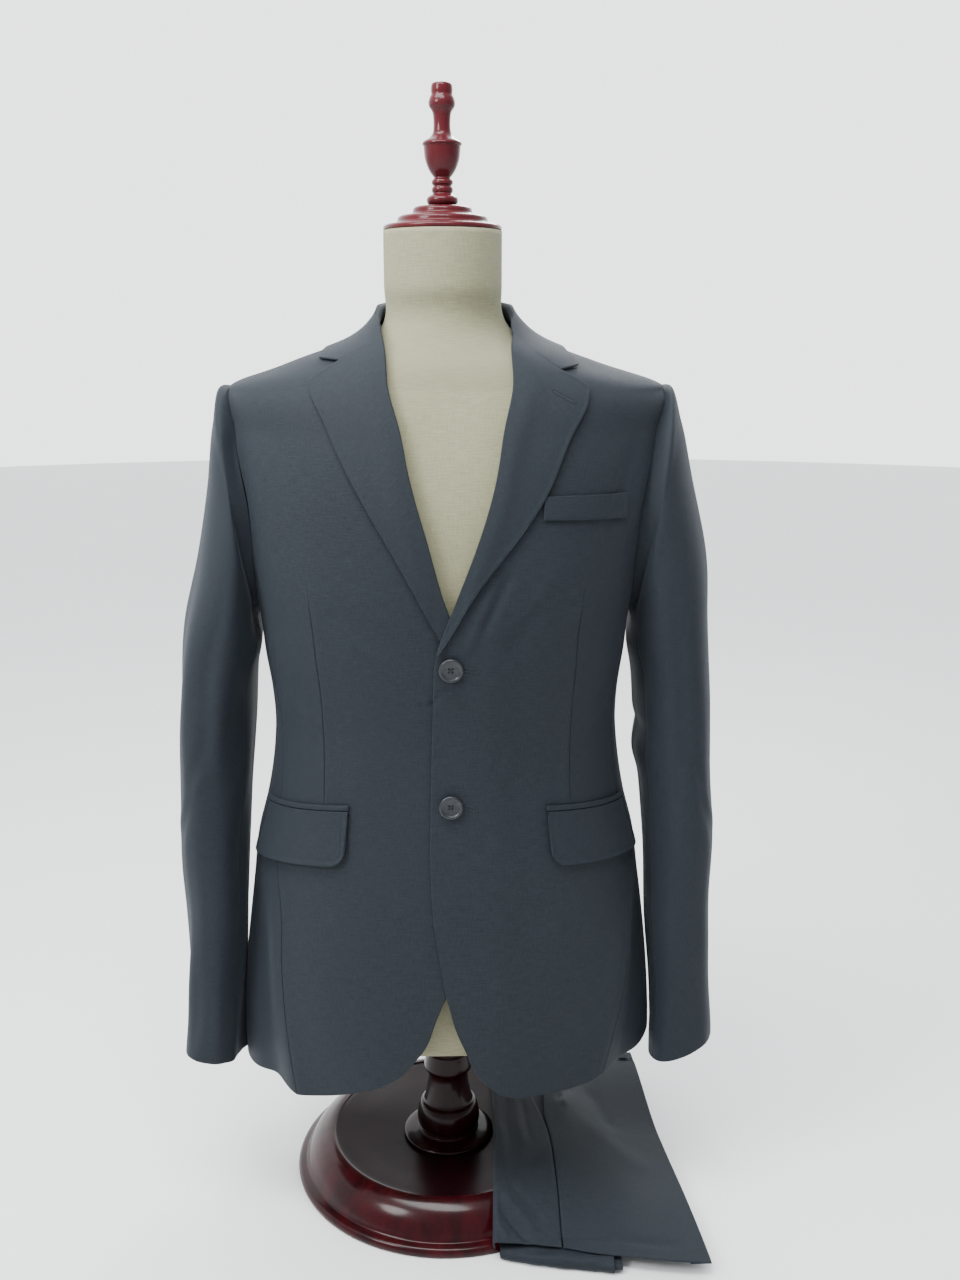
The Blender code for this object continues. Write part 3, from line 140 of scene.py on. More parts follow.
# ---------------------------------------------------------------- numbers and curves
def smooth(keys: Array, values: Array, at: Union[float, Array]) -> Array:
    """Smooth curve through values at rising keys.

    Args:
        keys: rising keys, one for each value.
        values: numbers or points, one for each key along the first axis.
        at: keys to read at; one axis only if the values are points.

    Returns:
        The values there, held beyond both ends.
    """
    keys, values, at = (np.asarray(item, float) for item in (keys, values, at))
    at = np.clip(at, keys[0], keys[-1])
    trail = (1,) * (values.ndim - 1)
    gaps = np.diff(keys)
    wide = gaps.reshape(-1, *trail)
    slopes = np.diff(values, axis=0) / wide
    tangents = np.empty_like(values)
    tangents[0], tangents[-1] = slopes[0], slopes[-1]
    tangents[1:-1] = (slopes[:-1] * wide[1:] + slopes[1:] * wide[:-1]) / (wide[1:] + wide[:-1])
    cell = np.clip(np.searchsorted(keys, at, side="right") - 1, 0, len(gaps) - 1)
    share = ((at - keys[cell]) / gaps[cell]).reshape(at.shape + trail)
    gap = gaps[cell].reshape(at.shape + trail)
    rest = 1.0 - share
    return (
        (1 + 2 * share) * rest**2 * values[cell]
        + share * rest**2 * gap * tangents[cell]
        + share**2 * (3 - 2 * share) * values[cell + 1]
        - share**2 * rest * gap * tangents[cell + 1]
    )


def ease(value: Union[float, Array], low: float, high: float) -> Array:
    """0 below low, 1 above high, smooth between."""
    share = np.clip((np.asarray(value, float) - low) / (high - low), 0.0, 1.0)
    return share * share * (3.0 - 2.0 * share)


def bell(value: Union[float, Array], spread: float) -> Array:
    """1 at nought, falling away smoothly over the spread."""
    return np.exp(-((np.asarray(value, float) / spread) ** 2))


def running(steps: Array) -> Array:
    """Running total of some steps, from nought."""
    return np.concatenate([[0.0], np.cumsum(steps)])


def places(*values: Union[float, Array]) -> Array:
    """Coordinates, spread to one shape, put together as places along a last axis."""
    return np.stack(np.broadcast_arrays(*values), -1)


def between(share: Array, fade: float) -> Array:
    """1 along the middle of a length, dying away smoothly over a share of it at each end."""
    return ease(share, 0.0, fade) * (1.0 - ease(share, 1.0 - fade, 1.0))


def wrapped(angle: Array) -> Array:
    """Degrees as -180 to 180."""
    return (angle + 180.0) % 360.0 - 180.0


def beside(spots: Array, start: Sequence[float], end: Sequence[float]) -> tuple[Array, Array]:
    """Share of the way from a start to an end of each spot of a plane, and how far aside it lies."""
    step = np.subtract(end, start)
    x, y = np.moveaxis(spots - start, -1, 0)
    long = math.hypot(*step)
    return (x * step[0] + y * step[1]) / long**2, (x * step[1] - y * step[0]) / long


def swirl(across: Array, along: Array, seed: int) -> Array:
    """Soft uneven swell of a surface, of about -1 to 1, from a seeded sum of slow waves.

    Args:
        across: distance one way, in units of the swell's size.
        along: distance the other way, in the same units.
        seed: which swell.

    Returns:
        The swell.
    """
    draw = np.random.default_rng(seed)
    total = np.zeros(np.broadcast(across, along).shape)
    for _ in range(SWELL_WAVES):
        turn, rate, phase = draw.uniform(0, 2 * math.pi), draw.uniform(0.6, 1.7), draw.uniform(0, 7)
        total = total + np.sin(rate * (np.cos(turn) * across + np.sin(turn) * along) * math.pi + phase)
    return total / math.sqrt(SWELL_WAVES)


def to_edge(points: Array) -> dict[str, Array]:
    """Distance over the cloth of each point of a grid from the grid's edges.

    Args:
        points: the grid.

    Returns:
        Distances from the low, top, first and last edge.
    """
    across = np.linalg.norm(np.diff(points, axis=1), axis=-1)
    up = np.linalg.norm(np.diff(points, axis=0), axis=-1)
    first = np.concatenate([np.zeros((len(points), 1)), np.cumsum(across, axis=1)], 1)
    low = np.concatenate([np.zeros((1, points.shape[1])), np.cumsum(up, axis=0)], 0)
    return {"low": low, "top": low[-1:] - low, "first": first, "last": first[:, -1:] - first}


def grid_normals(points: Array) -> Array:
    """Outward unit normals of a grid."""
    normals = np.cross(np.gradient(points, axis=1), np.gradient(points, axis=0))
    return normals / np.maximum(np.linalg.norm(normals, axis=-1, keepdims=True), 1e-12)


def eased_rows(points: Array, reach: int) -> Array:
    """A grid smoothed up its rows, with its low and top edge kept.

    Args:
        points: the grid.
        reach: rows over which it is smoothed, as the spread of a bell.

    Returns:
        The smoothed grid.
    """
    pad = 2 * reach
    low = 2 * points[:1] - points[pad:0:-1]
    top = 2 * points[-1:] - points[-2:-pad - 2:-1]
    long = np.concatenate([low, points, top])
    weights = bell(np.arange(-pad, pad + 1), reach)
    weights /= weights.sum()
    return sum(weight * long[index:index + len(points)] for index, weight in enumerate(weights))


def raised(points: Array, lift: Array) -> Array:
    """A grid moved out along its normals."""
    return points + grid_normals(points) * np.asarray(lift)[..., None]


def settled(grid: Array, spots: Array) -> tuple[Array, Array]:
    """Points of a front-facing grid at given places, with the grid's outward direction there.

    Args:
        grid: the grid.
        spots: x and height of each place.

    Returns:
        The points and the unit directions.
    """
    near = grid.reshape(-1, 3)
    points, normals = [], []
    for x, z in spots:
        close = near[np.argsort(np.hypot(near[:, 0] - x, near[:, 2] - z))[:12]]
        plane = places(1.0, close[:, 0] - x, close[:, 2] - z)
        y, slope, rise = np.linalg.lstsq(plane, close[:, 1], rcond=None)[0]
        points.append((x, y, z))
        normals.append(np.array([slope, -1.0, rise]) / math.sqrt(1 + slope**2 + rise**2))
    return np.array(points), np.array(normals)


def cells(grid: Array) -> Array:
    """The four corners of each cell of a grid, counted round as seen from outside."""
    return np.stack([grid[:-1, :-1], grid[:-1, 1:], grid[1:, 1:], grid[1:, :-1]], 2)


# ---------------------------------------------------------------- meshes
def make_mesh(name: str, points: Array, faces: list, maps: Array) -> bpy.types.Mesh:
    """A smooth-shaded mesh.

    Args:
        name: its name.
        points: its points.
        faces: tuples of point numbers, counted round as seen from outside.
        maps: a place on the cloth for each point, in metres.

    Returns:
        The mesh.
    """
    mesh = bpy.data.meshes.new(name)
    mesh.from_pydata([tuple(point) for point in points.tolist()], [], faces)
    layer = mesh.uv_layers.new(name=CLOTH_MAP)
    corner = np.empty(len(mesh.loops), np.int32)
    mesh.loops.foreach_get("vertex_index", corner)
    layer.data.foreach_set("uv", maps[corner].astype(np.float32).ravel())
    mesh.shade_smooth()
    mesh.update()
    return mesh


def make_object(name: str, mesh: bpy.types.Mesh, finish: Finish) -> Piece:
    """A mesh object at the origin with one finish."""
    made = bpy.data.objects.new(name, mesh)
    mesh.materials.clear()
    mesh.materials.append(finish)
    bpy.context.scene.collection.objects.link(made)
    return made


@dataclass
class Sheet:
    """A sheet of cloth with a wall and softened edges.

    Its grid is the outer face: rows rise and columns run to the wearer's left.
    """

    name: str
    points: Array
    wall: float
    finish: Finish
    softness: float
    maps: Optional[Array] = None
    gap: float = SEAM / 2  # how far its edges stay back from the line that they are drawn on
    rim_steps: tuple[Pair, ...] = ((0.29, 0.29), (0.0, 1.0))

    def cut(self) -> tuple[Pair, float]:
        """Width and length that the piece is cut to, and its flat area."""
        edges = to_edge(self.points)
        width = max(float(edges["first"][:, -1].max()), LEAST_CUT)
        length = max(float(edges["low"][-1].max()), LEAST_CUT)
        corners = cells(self.points)
        crossed = np.cross(corners[:, :, 2] - corners[:, :, 0], corners[:, :, 3] - corners[:, :, 1])
        area = float(np.linalg.norm(crossed, axis=-1).sum() / 2)
        return (width, length), max(min(area, width * length), LEAST_FILL * width * length)

    def ring(self) -> tuple[Array, Array]:
        """Rows and columns of the grid's edge, counted round as seen from outside."""
        rows, cols = self.points.shape[:2]
        low = [(0, col) for col in range(cols)]
        last = [(row, cols - 1) for row in range(1, rows)]
        top = [(rows - 1, col) for col in range(cols - 2, -1, -1)]
        first = [(row, 0) for row in range(rows - 2, 0, -1)]
        rows, cols = np.array(low + last + top + first).T
        return rows, cols

    def outward(self) -> Array:
        """Direction out of the sheet at each point of its edge, nought inside."""
        out = np.zeros_like(self.points)
        every = slice(None)
        for edge, inside in (((0,), (1,)), ((-1,), (-2,)), ((every, 0), (every, 1)), ((every, -1), (every, -2))):
            step = self.points[edge] - self.points[inside]
            out[edge] += step / np.maximum(np.linalg.norm(step, axis=-1, keepdims=True), 1e-9)
        return out

    def build(self) -> Piece:
        """The sheet as a closed mesh."""
        normals, out = grid_normals(self.points), self.outward()
        soft = min(self.softness, 0.45 * self.wall)
        drawn = self.points - out * self.gap
        outer = drawn - out * soft
        inner = outer - normals * self.wall
        at = self.ring()
        edge, normal, away = drawn[at], normals[at], out[at]
        rims = [edge - away * soft * back - normal * soft * down for back, down in self.rim_steps]
        rims += [edge - away * soft * back - normal * (self.wall - soft * down)
                 for back, down in self.rim_steps[::-1]]
        points = np.concatenate([outer.reshape(-1, 3), inner.reshape(-1, 3), *rims])
        count, many = outer[..., 0].size, len(edge)
        index = np.arange(count).reshape(outer.shape[:2])
        quads = cells(index).reshape(-1, 4)
        loops = [index[at]] + [2 * count + step * many + np.arange(many) for step in range(len(rims))]
        loops.append(index[at] + count)
        faces = [quads, quads[:, ::-1] + count]
        for near, far in zip(loops, loops[1:]):
            faces.append(np.stack([near, far, np.roll(far, -1), np.roll(near, -1)], -1))
        maps = self.maps
        if maps is None:
            edges = to_edge(self.points)
            maps = places(edges["first"], edges["low"])
        flat = maps.reshape(-1, 2)
        maps = np.concatenate([flat, flat] + [maps[at]] * len(rims))
        mesh = make_mesh(self.name, points, np.concatenate(faces).tolist(), maps)
        return make_object(self.name, mesh, self.finish)


def closed_loft(name: str, rings: Array, finish: Finish) -> Piece:
    """A solid through closed rings that run towards the left, from the lowest to the highest.

    Args:
        name: its name.
        rings: points of each ring.
        finish: its material.

    Returns:
        The object.
    """
    count, many = rings.shape[:2]
    index = np.arange(count * many).reshape(count, many)
    faces = cells(np.hstack([index, index[:, :1]])).reshape(-1, 4).tolist()
    faces += [index[0, ::-1].tolist(), index[-1].tolist()]
    around = np.linalg.norm(np.diff(rings, axis=1, append=rings[:, :1]), axis=-1)
    across = np.concatenate([np.zeros((count, 1)), np.cumsum(around, axis=1)], 1)
    up = running(np.linalg.norm(np.diff(rings, axis=0), axis=-1).mean(1))
    place = places(across, up[:, None])
    corners = cells(place).reshape(-1, 2)
    mesh = make_mesh(name, rings.reshape(-1, 3), faces, place[:, :-1].reshape(-1, 2))
    flat = np.empty(len(mesh.loops) * 2, np.float32)
    layer = mesh.uv_layers[CLOTH_MAP].data
    layer.foreach_get("uv", flat)
    flat[:corners.size] = corners.ravel()
    layer.foreach_set("uv", flat)
    return make_object(name, mesh, finish)


def lathed(name: str, section: Pairs, finish: Finish, steps: int) -> Piece:
    """A solid round the form's axis.

    Args:
        name: its name.
        section: radius and height of each ring, from the lowest to the highest.
        finish: its material.
        steps: steps round.

    Returns:
        The object.
    """
    turn = np.arange(steps) * 2 * math.pi / steps
    radius, height = np.array(section, float).T[..., None]
    return closed_loft(name, places(radius * np.sin(turn), -radius * np.cos(turn), height), finish)


def turned(name: str, section: Pairs, finish: Finish, steps: int = 96) -> Piece:
    """A turned piece on the form's axis, with the corners of its section cut round.

    Args:
        name: its name.
        section: radius and height, from the axis at the top, down the outside, to the axis.
        finish: its material.
        steps: steps round.

    Returns:
        The object.
    """
    points = np.array(section, float)
    for _ in range(CORNER_CUTS):
        near = points[:-1] * (1 - CORNER_SHARE) + points[1:] * CORNER_SHARE
        far = points[:-1] * CORNER_SHARE + points[1:] * (1 - CORNER_SHARE)
        middle = np.stack([near, far], 1).reshape(-1, 2)
        points = np.vstack([points[:1], middle[1:-1], points[-1:]])
    return lathed(name, points[-2:0:-1], finish, steps)


# ---------------------------------------------------------------- shader nodes
class Shade:
    """A shader socket with arithmetic."""

    def __init__(self, bench: "Bench", socket: bpy.types.NodeSocket) -> None:
        """Wrap a socket of a bench's tree."""
        self.bench, self.socket = bench, socket

    def maths(self, operation: str, *values: Union[float, "Shade"]) -> "Shade":
        """A Math node on some values."""
        return self.bench.add("ShaderNodeMath", {"operation": operation}, dict(enumerate(values)))

    def __add__(self, other: Union[float, "Shade"]) -> "Shade":
        """Sum."""
        return self.maths("ADD", self, other)

    def __mul__(self, other: Union[float, "Shade"]) -> "Shade":
        """Product."""
        return self.maths("MULTIPLY", self, other)

    def __sub__(self, other: Union[float, "Shade"]) -> "Shade":
        """Difference."""
        return self.maths("SUBTRACT", self, other)

    def __rsub__(self, other: float) -> "Shade":
        """Difference from a number."""
        return self.maths("SUBTRACT", other, self)

    __radd__ = __add__
    __rmul__ = __mul__

    def wave(self) -> "Shade":
        """Sine."""
        return self.maths("SINE", self)

    def raised_half(self) -> "Shade":
        """A value of -1 to 1 as one of 0 to 1."""
        return self * 0.5 + 0.5

    def around(self, weight: float) -> "Shade":
        """How far it lies from its middle, a half, times a weight."""
        return (self - 0.5) * weight

    def clipped(self) -> "Shade":
        """Kept between 0 and 1."""
        return self.bench.add("ShaderNodeClamp", {}, {0: self})


class Bench:
    """A material or world in the making."""

    def __init__(self, owner: Union[str, bpy.types.World], shader: str = "Principled BSDF") -> None:
        """Start on a new material of some name, or on a world, with its shader node."""
        self.material = bpy.data.materials.new(owner) if isinstance(owner, str) else owner
        self.material.use_nodes = True
        self.tree = self.material.node_tree
        self.shader = self.tree.nodes[shader]

    def add(self, kind: str, settings: dict, inputs: dict, output: Union[int, str] = 0) -> Shade:
        """Any node.

        Args:
            kind: its type.
            settings: its own settings, set first.
            inputs: values or links of its sockets, by name or number.
            output: the socket wanted.

        Returns:
            That output.
        """
        made = self.tree.nodes.new(kind)
        for name, value in settings.items():
            setattr(made, name, value)
        for key, value in inputs.items():
            if isinstance(value, Shade):
                self.tree.links.new(value.socket, made.inputs[key])
            else:
                made.inputs[key].default_value = value
        return Shade(self, made.outputs[output])

    def place(self, scale: tuple[float, float, float], on_cloth: bool = True) -> Shade:
        """A scaled place on the cloth map, or in the object."""
        if on_cloth:
            where = self.add("ShaderNodeUVMap", {"uv_map": CLOTH_MAP}, {})
        else:
            where = self.add("ShaderNodeTexCoord", {}, {}, "Object")
        return self.add("ShaderNodeMapping", {}, {"Vector": where, "Scale": scale})

    def noise(self, scale: tuple[float, float, float], detail: float, on_cloth: bool = True,
              warp: float = 0.0) -> Shade:
        """Noise of a given number of swells a metre each way."""
        return self.add("ShaderNodeTexNoise", {}, {
            "Vector": self.place(scale, on_cloth), "Scale": 1.0, "Detail": detail, "Distortion": warp})

    def grain(self, scale: float, detail: float = 2.0) -> Shade:
        """Noise in the object, alike each way."""
        return self.noise((scale, scale, scale), detail, on_cloth=False)

    def axes(self, vector: Shade, names: str) -> list[Shade]:
        """A vector's parts along the axes named."""
        return [self.add("ShaderNodeSeparateXYZ", {}, {0: vector}, name) for name in names]

    def lines(self, pitch: float) -> list[Shade]:
        """Place across and up the cloth, counted in turns of a pitch."""
        turn = 2 * math.pi / pitch
        return self.axes(self.place((turn, turn, 1.0)), "XY")

    def blend(self, share: Union[float, Shade], first: tuple, second: Union[tuple, Shade]) -> Shade:
        """Two colours mixed."""
        return self.add("ShaderNodeMix", {"data_type": "RGBA"}, {0: share, 6: first, 7: second}, 2)

    def bump(self, height: Shade, depth: float, strength: float = 1.0) -> Shade:
        """A bump of some depth in metres."""
        return self.add("ShaderNodeBump", {}, {"Height": height, "Distance": depth, "Strength": strength})

    def dress(self, **sockets: Union[float, tuple, Shade]) -> Finish:
        """Set the shader's sockets, named with underscores, and hand over the material."""
        for name, value in sockets.items():
            socket = self.shader.inputs[name.replace("_", " ")]
            if isinstance(value, Shade):
                self.tree.links.new(value.socket, socket)
            else:
                socket.default_value = value
        return self.material


@dataclass(frozen=True)
class WorstedFinish:
    """Charcoal worsted with faint level slubs."""

    name: str = "charcoal_worsted"
    deep: tuple = (0.0068, 0.0092, 0.0124, 1.0)
    bright: tuple = (0.017, 0.0222, 0.0288, 1.0)
    scales: tuple = (((95.0, 1100.0, 1.0), 3.0), ((950.0, 130.0, 1.0), 2.0), ((7.0, 5.0, 1.0), 2.0))
    thread: float = 0.00055  # pitch of the twill line
    steepness: float = 1.6  # its climb against its run
    shares: tuple = (1.3, 0.7, 0.35, 0.07)  # of the slub, warp, cloud and twill in the colour
    heights: tuple = (0.2, 0.9, 0.45)  # of the twill, slub and warp in the relief
    relief: Pair = (0.00022, 0.55)  # its depth and strength
    roughness: Pair = (0.7, 0.16)  # its middle, and how far the slub varies it
    sheen_tint: tuple = (0.75, 0.86, 1.0, 1.0)

    def build(self) -> Finish:
        """The material."""
        bench = Bench(self.name)
        slub, warp, cloud = (bench.noise(scale, detail) for scale, detail in self.scales)
        line, rise = bench.lines(self.thread)
        twill = (line + rise * self.steepness).wave().raised_half()
        in_slub, in_warp, in_cloud, in_twill = self.shares
        yarn = slub.around(in_slub) + warp.around(in_warp)
        share = (0.5 + yarn + cloud.around(in_cloud) + twill.around(in_twill)).clipped()
        of_twill, of_slub, of_warp = self.heights
        relief = twill * of_twill + slub * of_slub + warp * of_warp
        return bench.dress(
            Base_Color=bench.blend(share, self.deep, self.bright),
            Roughness=self.roughness[0] + slub.around(self.roughness[1]), Normal=bench.bump(relief, *self.relief),
            Sheen_Weight=0.05, Sheen_Roughness=0.45, Sheen_Tint=self.sheen_tint, Specular_IOR_Level=0.16)


@dataclass(frozen=True)
class ThreadFinish:
    """Charcoal silk twist of buttonholes, bars and button shanks."""

    name: str = "charcoal_thread"
    colour: tuple = (0.007, 0.009, 0.0115, 1.0)
    worn: tuple = (0.019, 0.024, 0.03, 1.0)
    fibre_scale: tuple = (2600.0, 2600.0, 5200.0)
    relief: float = 0.0001

    def build(self) -> Finish:
        """The material."""
        bench = Bench(self.name)
        fibre = bench.noise(self.fibre_scale, 2.0, on_cloth=False)
        return bench.dress(
            Base_Color=bench.blend(fibre, self.colour, self.worn),
            Roughness=0.56 + fibre * 0.2, Normal=bench.bump(fibre, self.relief),
            Sheen_Weight=0.05, Sheen_Roughness=0.4, Specular_IOR_Level=0.25)


@dataclass(frozen=True)
class HornFinish:
    """Dark slate horn, streaked and polished."""

    name: str = "slate_horn"
    deep: tuple = (0.0075, 0.0095, 0.012, 1.0)
    pale: tuple = (0.019, 0.023, 0.028, 1.0)
    streak_scale: tuple = (90.0, 260.0, 420.0)
    streak_turn: Pair = (0.38, 2.2)  # the noise at which it turns pale, and how fast it does
    scuffs: float = 1500.0
    relief: float = 0.00003

    def build(self) -> Finish:
        """The material."""
        bench = Bench(self.name)
        streak = bench.noise(self.streak_scale, 4.0, on_cloth=False, warp=1.2)
        scuff = bench.grain(self.scuffs)
        start, rate = self.streak_turn
        return bench.dress(
            Base_Color=bench.blend(((streak - start) * rate).clipped(), self.deep, self.pale),
            Roughness=0.3 + scuff * 0.16, Normal=bench.bump(scuff, self.relief),
            Coat_Weight=0.15, Coat_Roughness=0.12, Specular_IOR_Level=0.35)


@dataclass(frozen=True)
class LinenFinish:
    """Natural linen cover of the dress form, in plain weave."""

    name: str = "natural_linen"
    shade: tuple = (0.165, 0.16, 0.096, 1.0)
    pale: tuple = (0.262, 0.256, 0.166, 1.0)
    scales: tuple = (((70.0, 1150.0, 1.0), 3.0), ((1000.0, 80.0, 1.0), 3.0), ((14.0, 11.0, 1.0), 2.0))
    thread: float = 0.00085  # pitch of the weave
    shares: tuple = (1.3, 0.9, 0.4, 0.25)  # of the weft, warp, cloud and weave in the colour
    middle: float = 0.42  # how pale it is without them
    heights: tuple = (0.7, 0.9, 0.6)  # of the weave, weft and warp in the relief
    relief: Pair = (0.0003, 0.6)  # its depth and strength

    def build(self) -> Finish:
        """The material."""
        bench = Bench(self.name)
        weft, warp, cloud = (bench.noise(scale, detail) for scale, detail in self.scales)
        over, up = (part.wave() for part in bench.lines(self.thread))
        weave = (over * up).raised_half()
        in_weft, in_warp, in_cloud, in_weave = self.shares
        share = weft.around(in_weft) + warp.around(in_warp) + cloud.around(in_cloud) + weave * in_weave + self.middle
        of_weave, of_weft, of_warp = self.heights
        relief = weave * of_weave + weft * of_weft + warp * of_warp
        return bench.dress(
            Base_Color=bench.blend(share.clipped(), self.shade, self.pale),
            Roughness=0.86 + weft.around(0.12), Normal=bench.bump(relief, *self.relief),
            Sheen_Weight=0.08, Sheen_Roughness=0.5, Specular_IOR_Level=0.25)


@dataclass(frozen=True)
class LacquerFinish:
    """Mahogany under gloss lacquer; inside a given ring its coat is thinner and its colour darker, and the darker
    colour is painted shade.
    """

    name: str = "mahogany_gloss"
    deep: tuple = (0.0045, 0.0008, 0.0012, 1.0)
    warm: tuple = (0.032, 0.0022, 0.0036, 1.0)
    # painted shade: colour mixed in on the foot's top inside its ring, standing in for the dark jacket reflected
    # there
    inner: tuple = (0.003, 0.001, 0.002, 1.0)
    grain_scale: tuple = (34.0, 34.0, 5.0)
    pore_scale: tuple = (420.0, 420.0, 40.0)
    wet: float = 0.5
    haze: float = 0.09  # roughness of the coat
    dull: float = 0.04  # coat inside the foot's ring
    dull_radius: float = 0.0  # radius of that ring
    ring_fade: float = 400.0  # how fast the coat changes over it, in shares a metre
    grain_turn: Pair = (0.32, 1.2)  # the noise at which it turns warm, and how fast it does
    pore_share: float = 0.3
    relief: Pair = (0.0007, 0.25)  # its depth and strength

    def build(self) -> Finish:
        """The material."""
        bench = Bench(self.name)
        grain = bench.noise(self.grain_scale, 5.0, on_cloth=False, warp=0.8)
        pore = bench.noise(self.pore_scale, 3.0, on_cloth=False)
        start, rate = self.grain_turn
        share = ((grain - start) * rate + pore.around(self.pore_share)).clipped()
        ripple = bench.grain(26.0, 1.0)
        spot = bench.place((1.0, 1.0, 0.0), on_cloth=False)
        out = bench.add("ShaderNodeVectorMath", {"operation": "LENGTH"}, {0: spot}, "Value")
        # share outside the ring; inside it the colour is darkened as painted shade and the coat is thinner
        clear = ((out - self.dull_radius) * self.ring_fade + 0.5).clipped()
        shine = clear * (self.wet - self.dull) + self.dull
        return bench.dress(
            Base_Color=bench.blend(clear * 0.75 + 0.25, self.inner, bench.blend(share, self.deep, self.warm)),
            Roughness=0.24 + pore * 0.14, Coat_Weight=shine, Coat_Roughness=self.haze, Coat_IOR=1.3,
            Specular_IOR_Level=0.06, Normal=bench.bump(ripple + pore * 0.05, *self.relief))


@dataclass(frozen=True)
class FloorFinish:
    """White laminate of the display shelf."""

    name: str = "pale_floor"
    colour: tuple = (0.8, 0.81, 0.82, 1.0)
    shade: tuple = (0.76, 0.77, 0.785, 1.0)

    def build(self) -> Finish:
        """The material."""
        bench = Bench(self.name)
        mottle = bench.grain(3.0)
        return bench.dress(Base_Color=bench.blend(mottle * 0.4, self.colour, self.shade),
                           Roughness=0.42 + mottle * 0.1)


@dataclass
class Finishes:
    """Every finish, built once."""

    worsted: Finish = field(default_factory=WorstedFinish().build)
    thread: Finish = field(default_factory=ThreadFinish().build)
    horn: Finish = field(default_factory=HornFinish().build)
    linen: Finish = field(default_factory=LinenFinish().build)
    lacquer: Finish = field(default_factory=LacquerFinish().build)
    red_lacquer: Finish = field(default_factory=LacquerFinish(
        "mahogany_gloss_red", (0.045, 0.0055, 0.008, 1.0), (0.11, 0.0125, 0.0165, 1.0),
        grain_scale=(40.0, 40.0, 9.0), haze=0.13, wet=0.6).build)
    # the foot's top inside this radius gets painted shade in its colour
    foot_lacquer: Finish = field(default_factory=LacquerFinish(
        "mahogany_gloss_foot", (0.01, 0.0009, 0.0018, 1.0), (0.06, 0.0026, 0.0056, 1.0),
        haze=0.15, wet=0.6, dull_radius=0.1245).build)
    floor: Finish = field(default_factory=FloorFinish().build)


def fit(piece: Piece, slot: str, *nodes: str) -> Piece:
    """Let a piece ride on the part and stand for its CAD nodes.

    Args:
        piece: the piece.
        slot: the record's material slot; not used.
        nodes: CAD nodes that it stands for.

    Returns:
        The piece.
    """
    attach(piece, "root")
    if nodes:
        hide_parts(*nodes)
    LOG.info("%s: %d faces, for %s", piece.name, len(piece.data.polygons), ", ".join(nodes) or "no node")
    return piece


def fit_cloth(sheet: Sheet, node: str, held: Held, *rests_on: str) -> None:
    """Build a sheet of suit cloth and fit it.

    Args:
        sheet: the sheet.
        node: CAD node that it stands for.
        held: how it is held; not used.
        rests_on: names of what it lies on or hangs from; not used.
    """
    fit(sheet.build(), "charcoal_suiting", node)


# ---------------------------------------------------------------- stitches
THREAD_SOCKETS = (
    ("Line", "INPUT", "Geometry", None), ("Pitch", "INPUT", "Float", 0.0006),
    ("Bar Length", "INPUT", "Float", 0.0016), ("Bar Radius", "INPUT", "Float", 0.00028),
    ("Quarter Turn", "INPUT", "Float", 1.0), ("Thread", "INPUT", "Material", None),
    ("Bars", "OUTPUT", "Geometry", None))
THREAD_NODES = {  # type, settings and values of each node
    "entry": ("NodeGroupInput", {}, {}),
    "leave": ("NodeGroupOutput", {}, {}),
    "curve": ("GeometryNodeMeshToCurve", {}, {}),
    "spaced": ("GeometryNodeResampleCurve", {"mode": "LENGTH"}, {}),
    "bar": ("GeometryNodeMeshUVSphere", {}, {"Segments": 6, "Rings": 4, "Radius": 1.0}),
    "shaped": ("GeometryNodeTransform", {}, {}),
    "size": ("ShaderNodeCombineXYZ", {}, {}),
    "half": ("ShaderNodeMath", {"operation": "MULTIPLY"}, {1: 0.5}),
    "tangent": ("GeometryNodeInputTangent", {}, {}),
    "up": ("GeometryNodeInputNamedAttribute", {"data_type": "FLOAT_VECTOR"}, {"Name": "out"}),
    "side": ("ShaderNodeVectorMath", {"operation": "CROSS_PRODUCT"}, {}),
    "aim": ("ShaderNodeMix", {"data_type": "VECTOR"}, {}),
    "roll": ("FunctionNodeAlignRotationToVector", {"axis": "X"}, {}),
    "lift": ("FunctionNodeAlignRotationToVector", {"axis": "Z", "pivot_axis": "X"}, {}),
    "put": ("GeometryNodeInstanceOnPoints", {}, {}),
    "real": ("GeometryNodeRealizeInstances", {}, {}),
    "coat": ("GeometryNodeSetMaterial", {}, {}),
}
THREAD_LINKS = (  # node and output, node and input
    ("entry", "Line", "curve", 0), ("curve", 0, "spaced", "Curve"), ("entry", "Pitch", "spaced", "Length"),
    ("entry", "Bar Length", "half", 0), ("half", 0, "size", "X"), ("entry", "Bar Radius", "size", "Y"),
    ("entry", "Bar Radius", "size", "Z"), ("bar", "Mesh", "shaped", "Geometry"), ("size", 0, "shaped", "Scale"),
    ("up", "Attribute", "side", 0), ("tangent", 0, "side", 1), ("entry", "Quarter Turn", "aim", "Factor"),
    ("tangent", 0, "aim", 4), ("side", 0, "aim", 5), ("aim", 1, "roll", "Vector"),
    ("roll", 0, "lift", "Rotation"), ("up", "Attribute", "lift", "Vector"), ("spaced", 0, "put", "Points"),
    ("shaped", 0, "put", "Instance"), ("lift", 0, "put", "Rotation"), ("put", 0, "real", 0),
    ("real", 0, "coat", "Geometry"), ("entry", "Thread", "coat", "Material"), ("coat", 0, "leave", 0))


